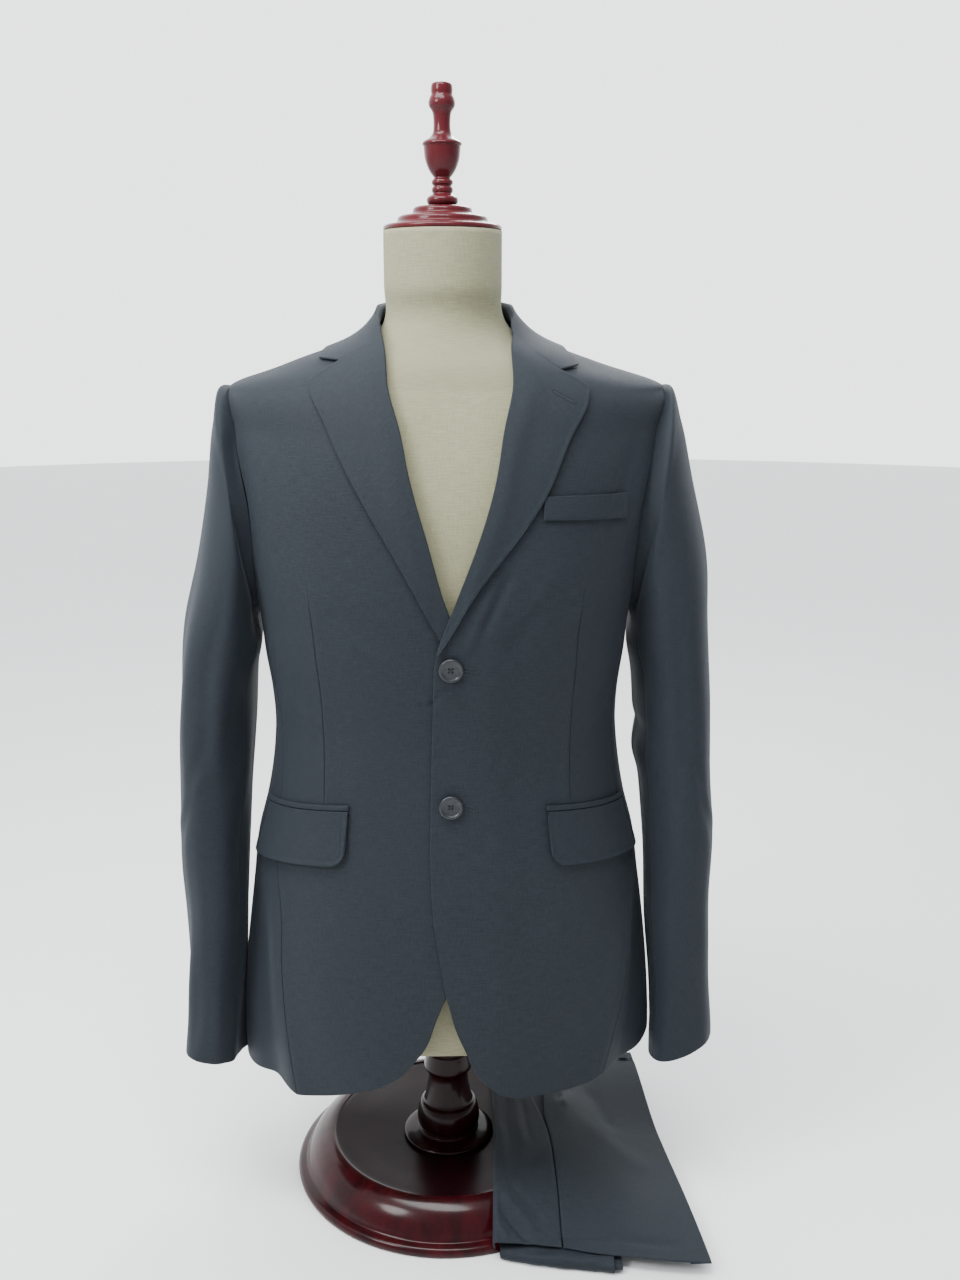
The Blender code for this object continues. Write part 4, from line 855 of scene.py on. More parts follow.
@dataclass
class Stitcher:
    """Rows of stitches laid along lines by one geometry tree."""

    finish: Finish
    tree: Optional[bpy.types.NodeTree] = None

    def grow(self) -> bpy.types.NodeTree:
        """The tree: a line of points with an outward direction becomes bars of thread."""
        tree = bpy.data.node_groups.new("thread_bars", "GeometryNodeTree")
        for name, way, kind, value in THREAD_SOCKETS:
            socket = tree.interface.new_socket(name, in_out=way, socket_type=f"NodeSocket{kind}")
            if value is not None:
                socket.default_value = value
        nodes = {}
        for name, (kind, settings, inputs) in THREAD_NODES.items():
            made = nodes[name] = tree.nodes.new(kind)
            for key, value in settings.items():
                setattr(made, key, value)
            for key, value in inputs.items():
                made.inputs[key].default_value = value
        for first, output, second, entry in THREAD_LINKS:
            tree.links.new(nodes[first].outputs[output], nodes[second].inputs[entry])
        return tree

    def sew(self, name: str, line: Array, out: Array, pitch: float, length: float,
            radius: float, across: bool = True, closed: bool = False) -> Piece:
        """Bars of thread along a line.

        Args:
            name: the piece's name.
            line: points of the line.
            out: direction out of the cloth at each point.
            pitch: distance between bars.
            length: length of a bar.
            radius: half its thickness.
            across: whether bars lie across the line, or along it.
            closed: whether the line is a loop.

        Returns:
            The stitches as a plain mesh object.
        """
        self.tree = self.tree or self.grow()
        mesh = bpy.data.meshes.new(name)
        edges = [(index, index + 1) for index in range(len(line) - 1)] + [(len(line) - 1, 0)] * closed
        mesh.from_pydata([tuple(point) for point in line.tolist()], edges, [])
        layer = mesh.attributes.new("out", "FLOAT_VECTOR", "POINT")
        layer.data.foreach_set("vector", np.broadcast_to(out, line.shape).astype(np.float32).ravel())
        made = make_object(name, mesh, self.finish)
        sewn = made.modifiers.new("Thread", "NODES")
        sewn.node_group = self.tree
        values = {"Pitch": pitch, "Bar Length": length, "Bar Radius": radius,
                  "Quarter Turn": float(across), "Thread": self.finish}
        for item in self.tree.interface.items_tree:
            if item.in_out == "INPUT" and item.name in values:
                sewn[item.identifier] = values[item.name]
        plain = bpy.data.meshes.new_from_object(made.evaluated_get(bpy.context.evaluated_depsgraph_get()))
        made.modifiers.remove(sewn)
        made.data = plain
        plain.name = name
        plain.shade_smooth()
        return made


# ---------------------------------------------------------------- the worn surface
@dataclass(frozen=True)
class Crease:
    """A soft ridge or trough of the cloth between two places on the body."""

    start: Pair  # degrees and height
    end: Pair
    rise: float
    spread: float  # half its width, in metres
    fade: float = 0.35  # share of its length over which each end dies away

    def lift(self, spots: Array) -> Array:
        """Its rise at places on the body."""
        scaled = (np.asarray(item) * (DEGREE, 1.0) for item in (spots, self.start, self.end))
        along, aside = beside(*scaled)
        return self.rise * bell(aside, self.spread) * between(along, self.fade)


@dataclass
class WornBody:
    """The surface that the jacket lies on, as level sections, with the folds of the worn cloth."""

    sections: Table = Table(("height", "half_width", "front", "back", "side_y", "squareness"), (
        (0.13, 0.2145, 0.145, 0.142, 0.003, 2.4), (0.2, 0.214, 0.145, 0.142, 0.003, 2.4),
        (0.262, 0.2095, 0.144, 0.141, 0.003, 2.4), (0.308, 0.204, 0.143, 0.138, 0.003, 2.4),
        (0.354, 0.198, 0.141, 0.131, 0.003, 2.4), (0.398, 0.1925, 0.138, 0.12, 0.003, 2.4),
        (0.442, 0.1815, 0.135, 0.106, 0.003, 2.4), (0.486, 0.174, 0.133, 0.094, 0.003, 2.4),
        (0.52, 0.1712, 0.133, 0.089, 0.003, 2.4), (0.55, 0.1725, 0.135, 0.092, 0.003, 2.4),
        (0.592, 0.178, 0.138, 0.1, 0.003, 2.4), (0.625, 0.181, 0.14, 0.107, 0.003, 2.4),
        (0.66, 0.187, 0.141, 0.113, 0.003, 2.4), (0.7, 0.193, 0.139, 0.118, 0.003, 2.4),
        (0.75, 0.199, 0.132, 0.121, 0.004, 2.4), (0.8, 0.203, 0.119, 0.119, 0.006, 2.3),
        (0.838, 0.203, 0.104, 0.112, 0.009, 2.2), (0.8475, 0.19, 0.099, 0.109, 0.01, 2.15),
        (0.866, 0.1375, 0.088, 0.101, 0.01, 2.1), (0.885, 0.0895, 0.072, 0.09, 0.009, 2.05),
        (0.903, 0.068, 0.058, 0.077, 0.008, 2.0), (0.914, 0.0632, 0.05, 0.069, 0.008, 2.0),
        (0.925, 0.0615, 0.046, 0.064, 0.008, 2.0)))
    # How much further out than the sections each side of the shoulders reaches.
    shoulders: Table = Table(("height", "left", "right"), (
        (0.66, 0.0, 0.0), (0.7, 0.0015, 0.0005), (0.735, 0.0035, 0.0005), (0.772, 0.007, 0.0035),
        (0.788, 0.0072, 0.0032), (0.802, 0.0065, 0.0018), (0.814, 0.005, -0.0014), (0.8245, 0.0046, -0.0028),
        (0.8312, 0.0058, -0.0014), (0.8377, 0.0086, 0.002), (0.843, 0.0138, 0.0062), (0.8475, 0.0122, 0.005),
        (0.855, 0.0085, 0.0015), (0.866, 0.0075, 0.0045), (0.885, 0.006, 0.001), (0.903, 0.0042, -0.0004),
        (0.914, 0.0018, -0.0016), (0.925, 0.0004, -0.002)))
    shoulder_reach: tuple[float, float, float, float] = (35.0, 80.0, 20.0, 70.0)
    # Skirt folds: side, angle and height at the top and at the hem, rise, spread in degrees.
    skirt_folds: Pairs = (
        (1, 65.0, 0.4, 37.0, 0.15, 0.003, 5.0), (1, 77.0, 0.39, 52.0, 0.15, -0.0052, 7.0),
        (-1, 57.0, 0.4, 39.0, 0.14, 0.003, 5.0), (-1, 69.0, 0.39, 52.0, 0.14, -0.0065, 7.0),
        (1, 133.0, 0.42, 140.0, 0.13, -0.005, 7.0), (-1, 135.0, 0.43, 142.0, 0.13, -0.005, 7.0))
    creases: tuple[Crease, ...] = (
        Crease((59.0, 0.815), (43.5, 0.7), -0.003, 0.011), Crease((66.0, 0.79), (55.0, 0.69), 0.0016, 0.007),
        Crease((-66.0, 0.8), (-60.0, 0.66), -0.0014, 0.011), Crease((60.0, 0.69), (26.0, 0.62), 0.001, 0.009),
        Crease((5.5, 0.618), (15.5, 0.695), -0.0021, 0.0042, 0.3),
        Crease((3.0, 0.605), (10.5, 0.675), 0.0018, 0.0034, 0.3), Crease((12.0, 0.6), (27.0, 0.665), -0.0011, 0.0075),
        Crease((15.0, 0.625), (30.0, 0.7), 0.0008, 0.007), Crease((-3.4, 0.56), (1.8, 0.585), -0.0022, 0.0016, 0.2),
        Crease((-2.2, 0.565), (2.6, 0.588), 0.0012, 0.0018, 0.2), Crease((-8.0, 0.61), (-34.0, 0.655), -0.0009, 0.01),
        Crease((66.0, 0.56), (34.0, 0.52), 0.0009, 0.01), Crease((-66.0, 0.56), (-34.0, 0.53), 0.0007, 0.01),
        Crease((150.0, 0.56), (118.0, 0.5), -0.0014, 0.01), Crease((-150.0, 0.565), (-118.0, 0.505), -0.0014, 0.01),
        Crease((124.0, 0.78), (128.0, 0.64), -0.0018, 0.013), Crease((-124.0, 0.78), (-128.0, 0.64), -0.0018, 0.013))
    swell: float = 0.00045
    swell_size: Pair = (0.07, 0.11)
    low_fade: int = 2  # powers by which a panel's low and top edges' shapes fade up and down
    top_fade: int = 5
    overlap: float = 0.0032  # the left front lies over the right one
    overlap_angles: Pair = (9.0, 20.0)
    overlap_top: Pair = (0.63, 0.69)
    shoulder_share: float = 0.75  # share of the shoulder's width that the cloth's climb counts

    def __post_init__(self) -> None:
        """Lay out how far up the cloth each height lies when it is measured over the shoulder."""
        keys = self.sections.column("height")
        self.heights = np.linspace(keys[0], keys[-1], 300)
        half = self.sections.read("height", "half_width", self.heights)
        self.climbs = running(np.hypot(np.diff(self.heights), self.shoulder_share * np.diff(half)))

    def climbed(self, spots: Array) -> Array:
        """Angle and height as angle and distance up the cloth."""
        return places(spots[..., 0], np.interp(spots[..., 1], self.heights, self.climbs))

    def unclimbed(self, spots: Array) -> Array:
        """Angle and distance up the cloth as angle and height."""
        return places(spots[..., 0], np.interp(spots[..., 1], self.climbs, self.heights))

    def trace(self, spots: Pairs, count: int) -> Array:
        """Even steps along a smooth line through places given as angle and height."""
        spots = np.asarray(spots, float)
        along = running(np.linalg.norm(np.diff(self.climbed(spots), axis=0) * (DEGREE, 1.0), axis=1))
        return smooth(along, spots, np.linspace(0.0, along[-1], count))

    def patch(self, low: Array, top: Array, inner: Array, outer: Array) -> Array:
        """Grid of angle and height inside four edges that meet at their ends.

        Args:
            low: places along the hem, inner to outer.
            top: places along the top, inner to outer.
            inner: places up the inner edge.
            outer: places up the outer edge.

        Returns:
            The grid; rows rise and columns run inner to outer.
        """
        low, top, inner, outer = (self.climbed(np.asarray(edge)) for edge in (low, top, inner, outer))
        across = np.linspace(0.0, 1.0, len(low))[None, :, None]
        up = np.linspace(0.0, 1.0, len(inner))[:, None, None]
        ruled = (1 - across) * inner[:, None] + across * outer[:, None]
        grid = ruled + (1 - up) ** self.low_fade * (low - ruled[0]) + up**self.top_fade * (top - ruled[-1])
        return self.unclimbed(grid)

    def section(self, angle: Array, height: Array) -> Array:
        """Point of the plain body, degrees round from the centre front towards the left."""
        half, front, back, side_y, power = (
            self.sections.read("height", name, height) for name in self.sections.columns[1:])
        sine, cosine = np.sin(np.radians(angle)), np.cos(np.radians(angle))
        out = np.abs(cosine) ** (2 / power)
        front_from, front_to, back_from, back_to = self.shoulder_reach
        away = np.abs(wrapped(angle))
        more = np.where(sine > 0, *(self.shoulders.read("height", side.word, height) for side in Side))
        half = half + more * ease(away, front_from, front_to) * ease(180.0 - away, back_from, back_to)
        x = half * np.sign(sine) * np.abs(sine) ** (2 / power)
        y = np.where(cosine > 0, side_y - (front + side_y) * out, side_y + (back - side_y) * out)
        return places(x, y, height)

    def point(self, spots: Array, lift: Union[float, Array]) -> Array:
        """Point of the body at each angle and height, moved out along its normal."""
        angle, height = np.moveaxis(np.asarray(spots, float), -1, 0)
        round_step = self.section(angle + 0.5, height) - self.section(angle - 0.5, height)
        rise_step = self.section(angle, height + 0.001) - self.section(angle, height - 0.001)
        normal = np.cross(round_step, rise_step)
        normal /= np.linalg.norm(normal, axis=-1, keepdims=True)
        return self.section(angle, height) + normal * np.broadcast_to(lift, angle.shape)[..., None]

    def on_body(self, spots: Pairs) -> Array:
        """Places on the front given as x and height, as angle and height."""
        x, height = np.moveaxis(np.asarray(spots, float), -1, 0)
        half, power = (self.sections.read("height", name, height) for name in ("half_width", "squareness"))
        share = np.clip(np.abs(x) / half, 0.0, 1.0)
        return places(np.degrees(np.arcsin(share ** (power / 2))) * np.sign(x), height)

    def fold_lift(self, spots: Array) -> Array:
        """Rise of the skirt's folds."""
        angle, height = np.moveaxis(spots, -1, 0)
        total = np.zeros(angle.shape)
        for side, top_angle, top, low_angle, low, rise, spread in self.skirt_folds:
            share = (height - low) / (top - low)
            line = side * (low_angle + (top_angle - low_angle) * share)
            total = total + rise * bell(angle - line, spread) * ease(-share, -1.0, -0.55)
        return total

    def fine_lift(self, spots: Array) -> Array:
        """Rise of the small creases and of the cloth's uneven swell."""
        total = self.swell * swirl(spots[..., 0] * DEGREE / self.swell_size[0], spots[..., 1] / self.swell_size[1], 5)
        for crease in self.creases:
            total = total + crease.lift(spots)
        return total

    def worn_lift(self, spots: Array) -> Array:
        """Rise of folds, creases and swell."""
        return self.fold_lift(spots) + self.fine_lift(spots)

    def overlap_lift(self, spots: Array, side: Side) -> Array:
        """How far the left front stands over the right one."""
        near = 1.0 - ease(spots[..., 0], *self.overlap_angles)
        return self.overlap * near * (1.0 - ease(spots[..., 1], *self.overlap_top)) * (side is Side.LEFT)


def ordered(grid: Array, side: Side) -> Array:
    """Columns that run inner to outer, turned round on the right so that they run to the left."""
    return grid if side is Side.LEFT else grid[:, ::-1]


@dataclass
class Jacket:
    """The two-button jacket."""

    body: WornBody
    finishes: Finishes
    wall: float = 0.002
    light_wall: float = 0.0018
    trim_wall: float = 0.0013
    # How far the edges of the fronts, of the panels and of the other pieces are rounded.
    front_soft: float = 0.0008
    panel_soft: float = 0.00045
    lapel_soft: float = 0.00065
    flap_soft: float = 0.0007
    trim_soft: float = 0.0005
    armhole_middle: float = 0.735
    armhole_half: float = 0.108
    armhole_forward: float = 24.0
    armhole_backward: float = 26.0
    under_turns: Pair = (146.0, 214.0)  # degrees round the armhole of the side panel
    front_turns: tuple = (146.0, 128.0, 110.0, 90.0, 70.0, 52.0, 34.0, 18.0, 0.0)
    neck_height: float = 0.9
    hem_about: float = 0.16
    shoulder_seam: float = 91.0
    neckline_middle: Pair = (62.0, 0.8925)
    front_edge: BySide = BySide(
        left=(
            (0.04, 0.1785), (0.0307, 0.188), (0.018, 0.215), (0.007, 0.242), (-0.001, 0.273), (-0.006, 0.305),
            (-0.012, 0.345), (-0.0155, 0.423), (-0.014, 0.491), (-0.0115, 0.569), (-0.01, 0.6), (-0.0038, 0.626)),
        right=(
            (-0.034, 0.203), (-0.0222, 0.2193), (-0.0113, 0.248), (-0.0016, 0.272), (0.004, 0.29), (0.011, 0.32),
            (0.018, 0.36), (0.022, 0.42), (0.022, 0.5), (0.02, 0.57), (0.016, 0.6), (0.009, 0.622)))
    roll_line: BySide = BySide(
        left=((0.0056, 0.648), (0.032, 0.7156), (0.0483, 0.7727), (0.0582, 0.825), (0.0618, 0.8734)),
        right=((0.0036, 0.6443), (-0.0165, 0.7134), (-0.0318, 0.7672), (-0.045, 0.825), (-0.0528, 0.8734)))
    tucks: tuple = (0.0, 0.0022, 0.003, 0.0032, 0.007)  # how far a front's edge lies behind its roll line
    front_hem: BySide = BySide(
        left=((0.0501, 0.17), (0.0696, 0.1637), (0.0943, 0.1628), (0.1295, 0.165)),
        right=((-0.0468, 0.1888), (-0.0714, 0.1743), (-0.1013, 0.1652), (-0.129, 0.1585)))
    hem: Table = Table(("angle", "left", "right"), (
        (38.0, 0.1695, 0.154), (45.0, 0.1725, 0.158), (52.0, 0.1735, 0.162), (60.0, 0.1745, 0.161),
        (75.0, 0.177, 0.1565), (90.0, 0.172, 0.153), (120.0, 0.16, 0.15), (180.0, 0.15, 0.15)))
    front_seam: Table = Table(("height", "left", "right"), (
        (0.15, 38.5, 39.8), (0.204, 45.8, 43.0), (0.263, 56.0, 46.4), (0.354, 63.5, 52.0), (0.393, 66.0, 56.8),
        (0.46, 68.0, 61.5), (0.55, 70.5, 68.0), (0.65, 76.0, 76.0)))
    back_seam: Table = Table(("height", "left", "right"), (
        (0.13, 121.0, 121.0), (0.35, 118.0, 118.0), (0.52, 111.0, 111.0), (0.6, 107.0, 107.0), (0.66, 104.0, 104.0)))
    dart: Table = Table(("height", "left", "right"), (
        (0.462, 37.4, 36.2), (0.5, 38.6, 37.2), (0.53, 39.1, 37.6), (0.58, 38.8, 37.2), (0.62, 38.6, 37.6),
        (0.667, 38.5, 37.3)))
    dart_step: float = 0.00045
    dart_beside: tuple = (0.0008, 0.003, 0.007)  # the cloth beside its seam: rise, where it lies, spread
    dart_seam: Pair = (0.0013, 0.0007)  # depth of its seam, spread
    lapel_edge: BySide = BySide(
        left=(
            (-0.0078, 0.61), (0.0258, 0.6643), (0.0612, 0.7091), (0.0912, 0.7521), (0.1075, 0.7898), (0.1175, 0.81),
            (0.1296, 0.8428)),
        right=(
            (-0.002, 0.6198), (-0.0229, 0.6583), (-0.0544, 0.7158), (-0.0861, 0.7723), (-0.1, 0.801),
            (-0.1091, 0.8216), (-0.12, 0.8478)))
    lapel_start: BySide = BySide(left=(-0.008, 0.613), right=(0.008, 0.63))
    gorge: BySide = BySide(left=((0.063, 0.888), (0.104, 0.8575)), right=((-0.0558, 0.8875), (-0.0928, 0.8658)))
    lapel_lift: Pair = (0.0027, 0.0036)
    lapel_radius: float = 0.0016  # of its roll
    lapel_belly: tuple = (0.0016, 0.02, 0.017)  # its rise beside the roll, where it lies, spread
    lapel_swell: float = 0.0003  # how much thicker its edge is
    collar_corner: BySide = BySide(left=(0.1212, 0.8612), right=(-0.1114, 0.8676))
    collar_lift: Pair = (0.0024, 0.0028)  # at the roll, and of the fall
    collar_bend: BySide = BySide(left=(56.0, 0.8968), right=(51.0, 0.8962))  # the roll just above the gorge
    collar_table: Table = Table(("angle", "roll", "fall"), (
        (70.0, 0.9055, 0.8738), (90.0, 0.915, 0.8782), (115.0, 0.919, 0.8805), (145.0, 0.9225, 0.8825),
        (180.0, 0.924, 0.8835)))
    # From inside the neck over the roll: share of the stand's depth below the roll, lift.
    collar_roll: Pairs = (
        (1.0, 0.0, -0.0062), (0.0, -0.004, -0.006), (0.0, 0.0002, -0.004), (0.0, 0.0016, -0.0008),
        (0.0, 0.0004, 0.0024))
    collar_notch: float = 0.67
    collar_end_draw: float = -0.0005  # how much closer to the front its ends lie
    collar_stand: Pair = (0.0005, 0.0215)  # the stand's depth at the ends, and how much deeper it is behind
    collar_hook: Pair = (0.2, 0.26)  # the stand's share at the ends, and how far that reaches
    collar_end: float = 1 / 9  # share of half the collar that its front end's shape reaches
    # Angle of its front and rear end, height of its top there, height of its low edge there.
    flap: BySide = BySide(
        left=(27.5, 72.0, 0.4545, 0.442, 0.401, 0.3895),
        right=(26.5, 72.0, 0.457, 0.442, 0.403, 0.3875))
    flap_lift: float = 0.0031
    flap_flare: float = 0.0022
    flap_top: float = 0.992
    flap_corner: float = 0.011
    flap_cuts: Pair = (1.0, 0.3)  # how much of its front and of its rear corner is cut round
    jet_share: float = 0.0058 / 0.054
    jet_round: float = 0.0006
    # Angle of the breast welt's front and rear end, height of its low and its top edge there.
    welt: Pairs = ((22.0, 0.73, 0.751), (54.0, 0.7265, 0.75))
    welt_lift: float = 0.0008
    faces: dict[str, Array] = field(default_factory=dict)  # outer faces of pieces by name

    def armhole(self, turn: Array, side: Side) -> Array:
        """Angle and height of the armhole at degrees round it: 0 shoulder, 90 front, 180 underarm."""
        turn = np.radians(turn)
        reach = np.where(np.sin(turn) > 0, self.armhole_forward, self.armhole_backward)
        angle = side.value * (90.0 - reach * np.sin(turn))
        return places(angle, self.armhole_middle + self.armhole_half * np.cos(turn))

    def neck_point(self, side: Side) -> Pair:
        """Angle and height of the shoulder seam's end at the neck."""
        return side.value * self.shoulder_seam, self.neck_height

    def panel_seam(self, side: Side, table: Table, turn: float, count: int) -> Array:
        """A seam from the hem up to the armhole, as angle and height.

        Args:
            side: which side of the jacket.
            table: the seam's angles by height.
            turn: degrees round the armhole where it ends.
            count: places along it.

        Returns:
            The seam's places.
        """
        join = self.armhole(np.array(turn), side)
        height, keys = self.hem_about, np.arange(12.0)
        for _ in range(8):
            angle = float(table.read("height", side.word, height))
            height = float(self.hem.read("angle", side.word, angle))
        heights = np.linspace(height, join[1], len(keys))
        line = places(side.value * table.read("height", side.word, heights), heights)
        line[-1] = join
        line[-2, 0] = (line[-3, 0] + 2 * line[-2, 0] + line[-1, 0]) / 4
        return smooth(keys, line, np.linspace(0.0, keys[-1], count))

    def hem_line(self, side: Side, first: float, last: float, count: int) -> Array:
        """The hem between two angles, as angle and height."""
        angles = np.linspace(first, last, count)
        return places(side.value * angles, self.hem.read("angle", side.word, angles))

    def sheet(self, name: str, points: Array, side: Side, wall: float, softness: float,
              grid: Optional[Array] = None) -> Sheet:
        """A piece of the jacket.

        Args:
            name: its name.
            points: its outer face; columns run inner to outer.
            side: which side of the jacket.
            wall: its thickness.
            softness: how far its edges are rounded.
            grid: angle and height of its points, where its weft lies level on the body.

        Returns:
            The sheet.
        """
        maps = None
        if grid is not None:
            maps = ordered(places(grid[..., 0] * DEGREE, self.body.climbed(grid)[..., 1]), side)
        return Sheet(name, ordered(points, side), wall, self.finishes.worsted, softness, maps)

    def front(self, side: Side) -> Sheet:
        """A front, with its dart, from the rounded corner up to the shoulder seam."""
        low_rows, arm_rows, neck_rows, columns = 170, 56, 30, 200
        body, sign = self.body, side.value
        seam = self.panel_seam(side, self.front_seam, self.front_turns[0], low_rows + 1)
        tucked = tuple((x + sign * tuck, z) for (x, z), tuck in zip(self.roll_line.of(side), self.tucks))
        edge = body.trace(body.on_body(self.front_edge.of(side) + tucked[:1]), low_rows + 1)
        roll = body.trace(body.on_body(tucked), arm_rows + 1)
        middle, middle_height = self.neckline_middle
        neckline = body.trace([roll[-1], (sign * middle, middle_height), self.neck_point(side)], neck_rows + 1)
        inner = np.vstack([edge, roll[1:], neckline[1:]])
        index = np.concatenate([np.linspace(0, 5, arm_rows + 1)[1:], np.linspace(5, 8, neck_rows + 1)[1:]])
        outer = np.vstack([seam, self.armhole(np.interp(index, np.arange(9), self.front_turns), side)])
        start = body.on_body(self.front_edge.of(side)[:1] + self.front_hem.of(side))
        low = body.trace(np.vstack([start, seam[:1]]), columns + 1)
        top = body.trace([self.neck_point(side), outer[-1]], columns + 1)
        inner[0] = low[0]
        grid = self.darted(body.patch(low, top, inner, outer), side)
        lift = body.worn_lift(grid) + self.dart_lift(grid) + body.overlap_lift(grid, side)
        return self.sheet(f"front_of_{side.word}", body.point(grid, lift), side, self.wall, self.front_soft, grid)

    def darted(self, grid: Array, side: Side) -> Array:
        """Resample each row so that close columns follow the dart."""
        near = np.arange(-4, 5) * self.dart_step / DEGREE
        shares = np.linspace(0.0, 1.0, grid.shape[1])
        line, rows = 0.5, []
        for row in grid:
            angles = side.value * row[:, 0]
            spread = max(angles[-1] - angles[0], 20.0)
            if row[:, 1].mean() < self.dart.rows[-1][0] + 0.02:
                height = np.interp(line, shares, row[:, 1])
                angle = float(self.dart.read("height", side.word, height))
                line = float(np.clip(np.interp(angle, angles, shares), 0.15, 0.85))
            steps = line + near / spread
            at = np.concatenate([np.linspace(0.0, steps[0], 64)[:-1], steps, np.linspace(steps[-1], 1.0, 46)[1:]])
            rows.append(places(*(np.interp(at, shares, column) for column in row.T)))
        return np.array(rows)

    def dart_lift(self, spots: Array) -> Array:
        """The dart's sewn line, with the cloth easing over on both sides."""
        angle, height = np.moveaxis(spots, -1, 0)
        low, top = self.dart.rows[0][0], self.dart.rows[-1][0] + 0.014
        line = np.where(angle > 0, *(self.dart.read("height", side.word, height) for side in Side))
        away = (np.abs(angle) - line) * DEGREE
        ends = ease(height, low - 0.01, low + 0.01) * (1.0 - ease(height, top - 0.05, top))
        (rise, place, spread), (sink, seam_spread) = self.dart_beside, self.dart_seam
        return ends * (rise * bell(away + place, spread) - sink * bell(away, seam_spread))

    def side_panel(self, side: Side) -> Sheet:
        """The panel under the arm."""
        rows, columns = 120, 48
        inner = self.panel_seam(side, self.front_seam, self.under_turns[0], rows + 1)
        outer = self.panel_seam(side, self.back_seam, self.under_turns[1], rows + 1)
        low = self.hem_line(side, abs(inner[0, 0]), abs(outer[0, 0]), columns + 1)
        top = self.armhole(np.linspace(*self.under_turns, columns + 1), side)
        low[0], low[-1], top[0], top[-1] = inner[0], outer[0], inner[-1], outer[-1]
        grid = self.body.patch(low, top, inner, outer)
        points = self.body.point(grid, self.body.worn_lift(grid))
        return self.sheet(f"side_of_{side.word}", points, side, self.wall, self.panel_soft, grid)

    def back(self, side: Side) -> Sheet:
        """A back, from the side panel to the centre back seam."""
        low_rows, arm_rows, shoulder, neckline = 110, 80, 60, 40
        body, middle = self.body, side.value * 180.0
        seam = self.panel_seam(side, self.back_seam, self.under_turns[1], low_rows + 1)
        turns = np.interp(np.linspace(0, 8, arm_rows + 1)[1:], np.arange(9), 360.0 - np.array(self.front_turns))
        inner = np.vstack([seam, self.armhole(turns, side)])
        low = self.hem_line(side, abs(seam[0, 0]), 180.0, shoulder + neckline + 1)
        top = np.vstack([
            body.trace([self.neck_point(side), inner[-1]], shoulder + 1)[::-1],
            body.trace([self.neck_point(side), (middle, self.neck_height)], neckline + 1)[1:]])
        join = inner[low_rows, 1]
        heights = np.concatenate([np.linspace(low[-1, 1], join, low_rows + 1),
                                  np.linspace(join, self.neck_height, arm_rows + 1)[1:]])
        low[0] = inner[0]
        grid = body.patch(low, top, inner, places(middle, heights))
        lift = body.worn_lift(grid) * ease(np.abs(np.abs(grid[..., 0]) - 180.0), 0.0, 12.0)
        return self.sheet(f"back_of_{side.word}", body.point(grid, lift), side, self.wall, self.panel_soft, grid)

    def lapel(self, side: Side) -> Sheet:
        """A lapel, rolled over at its roll line."""
        rows, columns = 130, 84
        body = self.body
        roll = (self.lapel_start.of(side),) + self.roll_line.of(side) + self.gorge.of(side)[:1]
        inner = body.trace(body.on_body(roll), rows + 1)
        outer = body.trace(body.on_body(self.lapel_edge.of(side)), rows + 1)
        low = body.trace([inner[0], outer[0]], columns + 1)
        gorge = body.on_body(self.gorge.of(side))
        top = np.vstack([body.trace(gorge, 49), body.trace([gorge[1], outer[-1]], columns - 47)[1:]])
        grid = body.patch(low, top, inner, outer)
        across = np.linspace(0.0, 1.0, columns + 1)[None, :]
        up = np.linspace(0.0, 1.0, rows + 1)[:, None]
        near, far = self.lapel_lift
        lift = near + (far - near) * np.maximum(across, ease(up, 0.6, 1.0)) + body.overlap_lift(grid, side)
        points = eased_rows(body.point(grid, lift), 7)
        edges = to_edge(points)
        rise, place, spread = self.lapel_belly
        belly = rise * bell(edges["first"] - place, spread) * ease(up, 0.02, 0.25) * (1 - ease(up, 0.75, 1.0))
        edge = np.minimum(edges["last"], edges["top"] + 0.03 * (across < 0.57))
        swelled = self.lapel_swell * (1.0 - ease(edge, 0.003, 0.0062))
        normal = grid_normals(points) * side.value
        points = points + normal * (belly + swelled)[..., None]
        return self.sheet(f"lapel_{side.word}_roll", self.rolled(points, normal, self.lapel_radius),
                          side, self.light_wall, self.lapel_soft)

    @staticmethod
    def rolled(points: Array, normal: Array, radius: float) -> Array:
        """Carry a grid's first columns on round a roll, down towards the body.

        Args:
            points: the grid.
            normal: its outward directions.
            radius: the roll's radius.

        Returns:
            The grid with the roll's columns before it.
        """
        step = points[:, 0] - points[:, 3]
        away = step / np.linalg.norm(step, axis=-1, keepdims=True)
        turns = np.radians(np.linspace(100.0, 12.5, 8))
        strips = [points[:, 0] + away * radius * np.sin(turn) - normal[:, 0] * radius * (1 - np.cos(turn))
                  for turn in turns]
        return np.concatenate([np.stack(strips, 1), points], 1)

    def collar_half(self, side: Side, stations: int) -> tuple[Array, Array, Array]:
        """Half the collar's roll and fall from its front end, with its notch, as angle and height."""
        body, bend = self.body, self.collar_bend.of(side)
        gorge = body.on_body(self.gorge.of(side))
        angles = self.collar_table.column("angle") * side.value
        roll, fall = (places(angles, self.collar_table.column(name)) for name in ("roll", "fall"))
        roll = body.trace(np.vstack([gorge[:1], [(bend[0] * side.value, bend[1])], roll]), stations)
        fall = body.trace(np.vstack([body.on_body([self.collar_corner.of(side)]), fall]), stations)
        if side is Side.LEFT:
            roll[-1, 0] = fall[-1, 0] = 180.0
            return roll, fall, gorge[1]
        return roll + (360.0, 0.0), fall + (360.0, 0.0), gorge[1] + (360.0, 0.0)

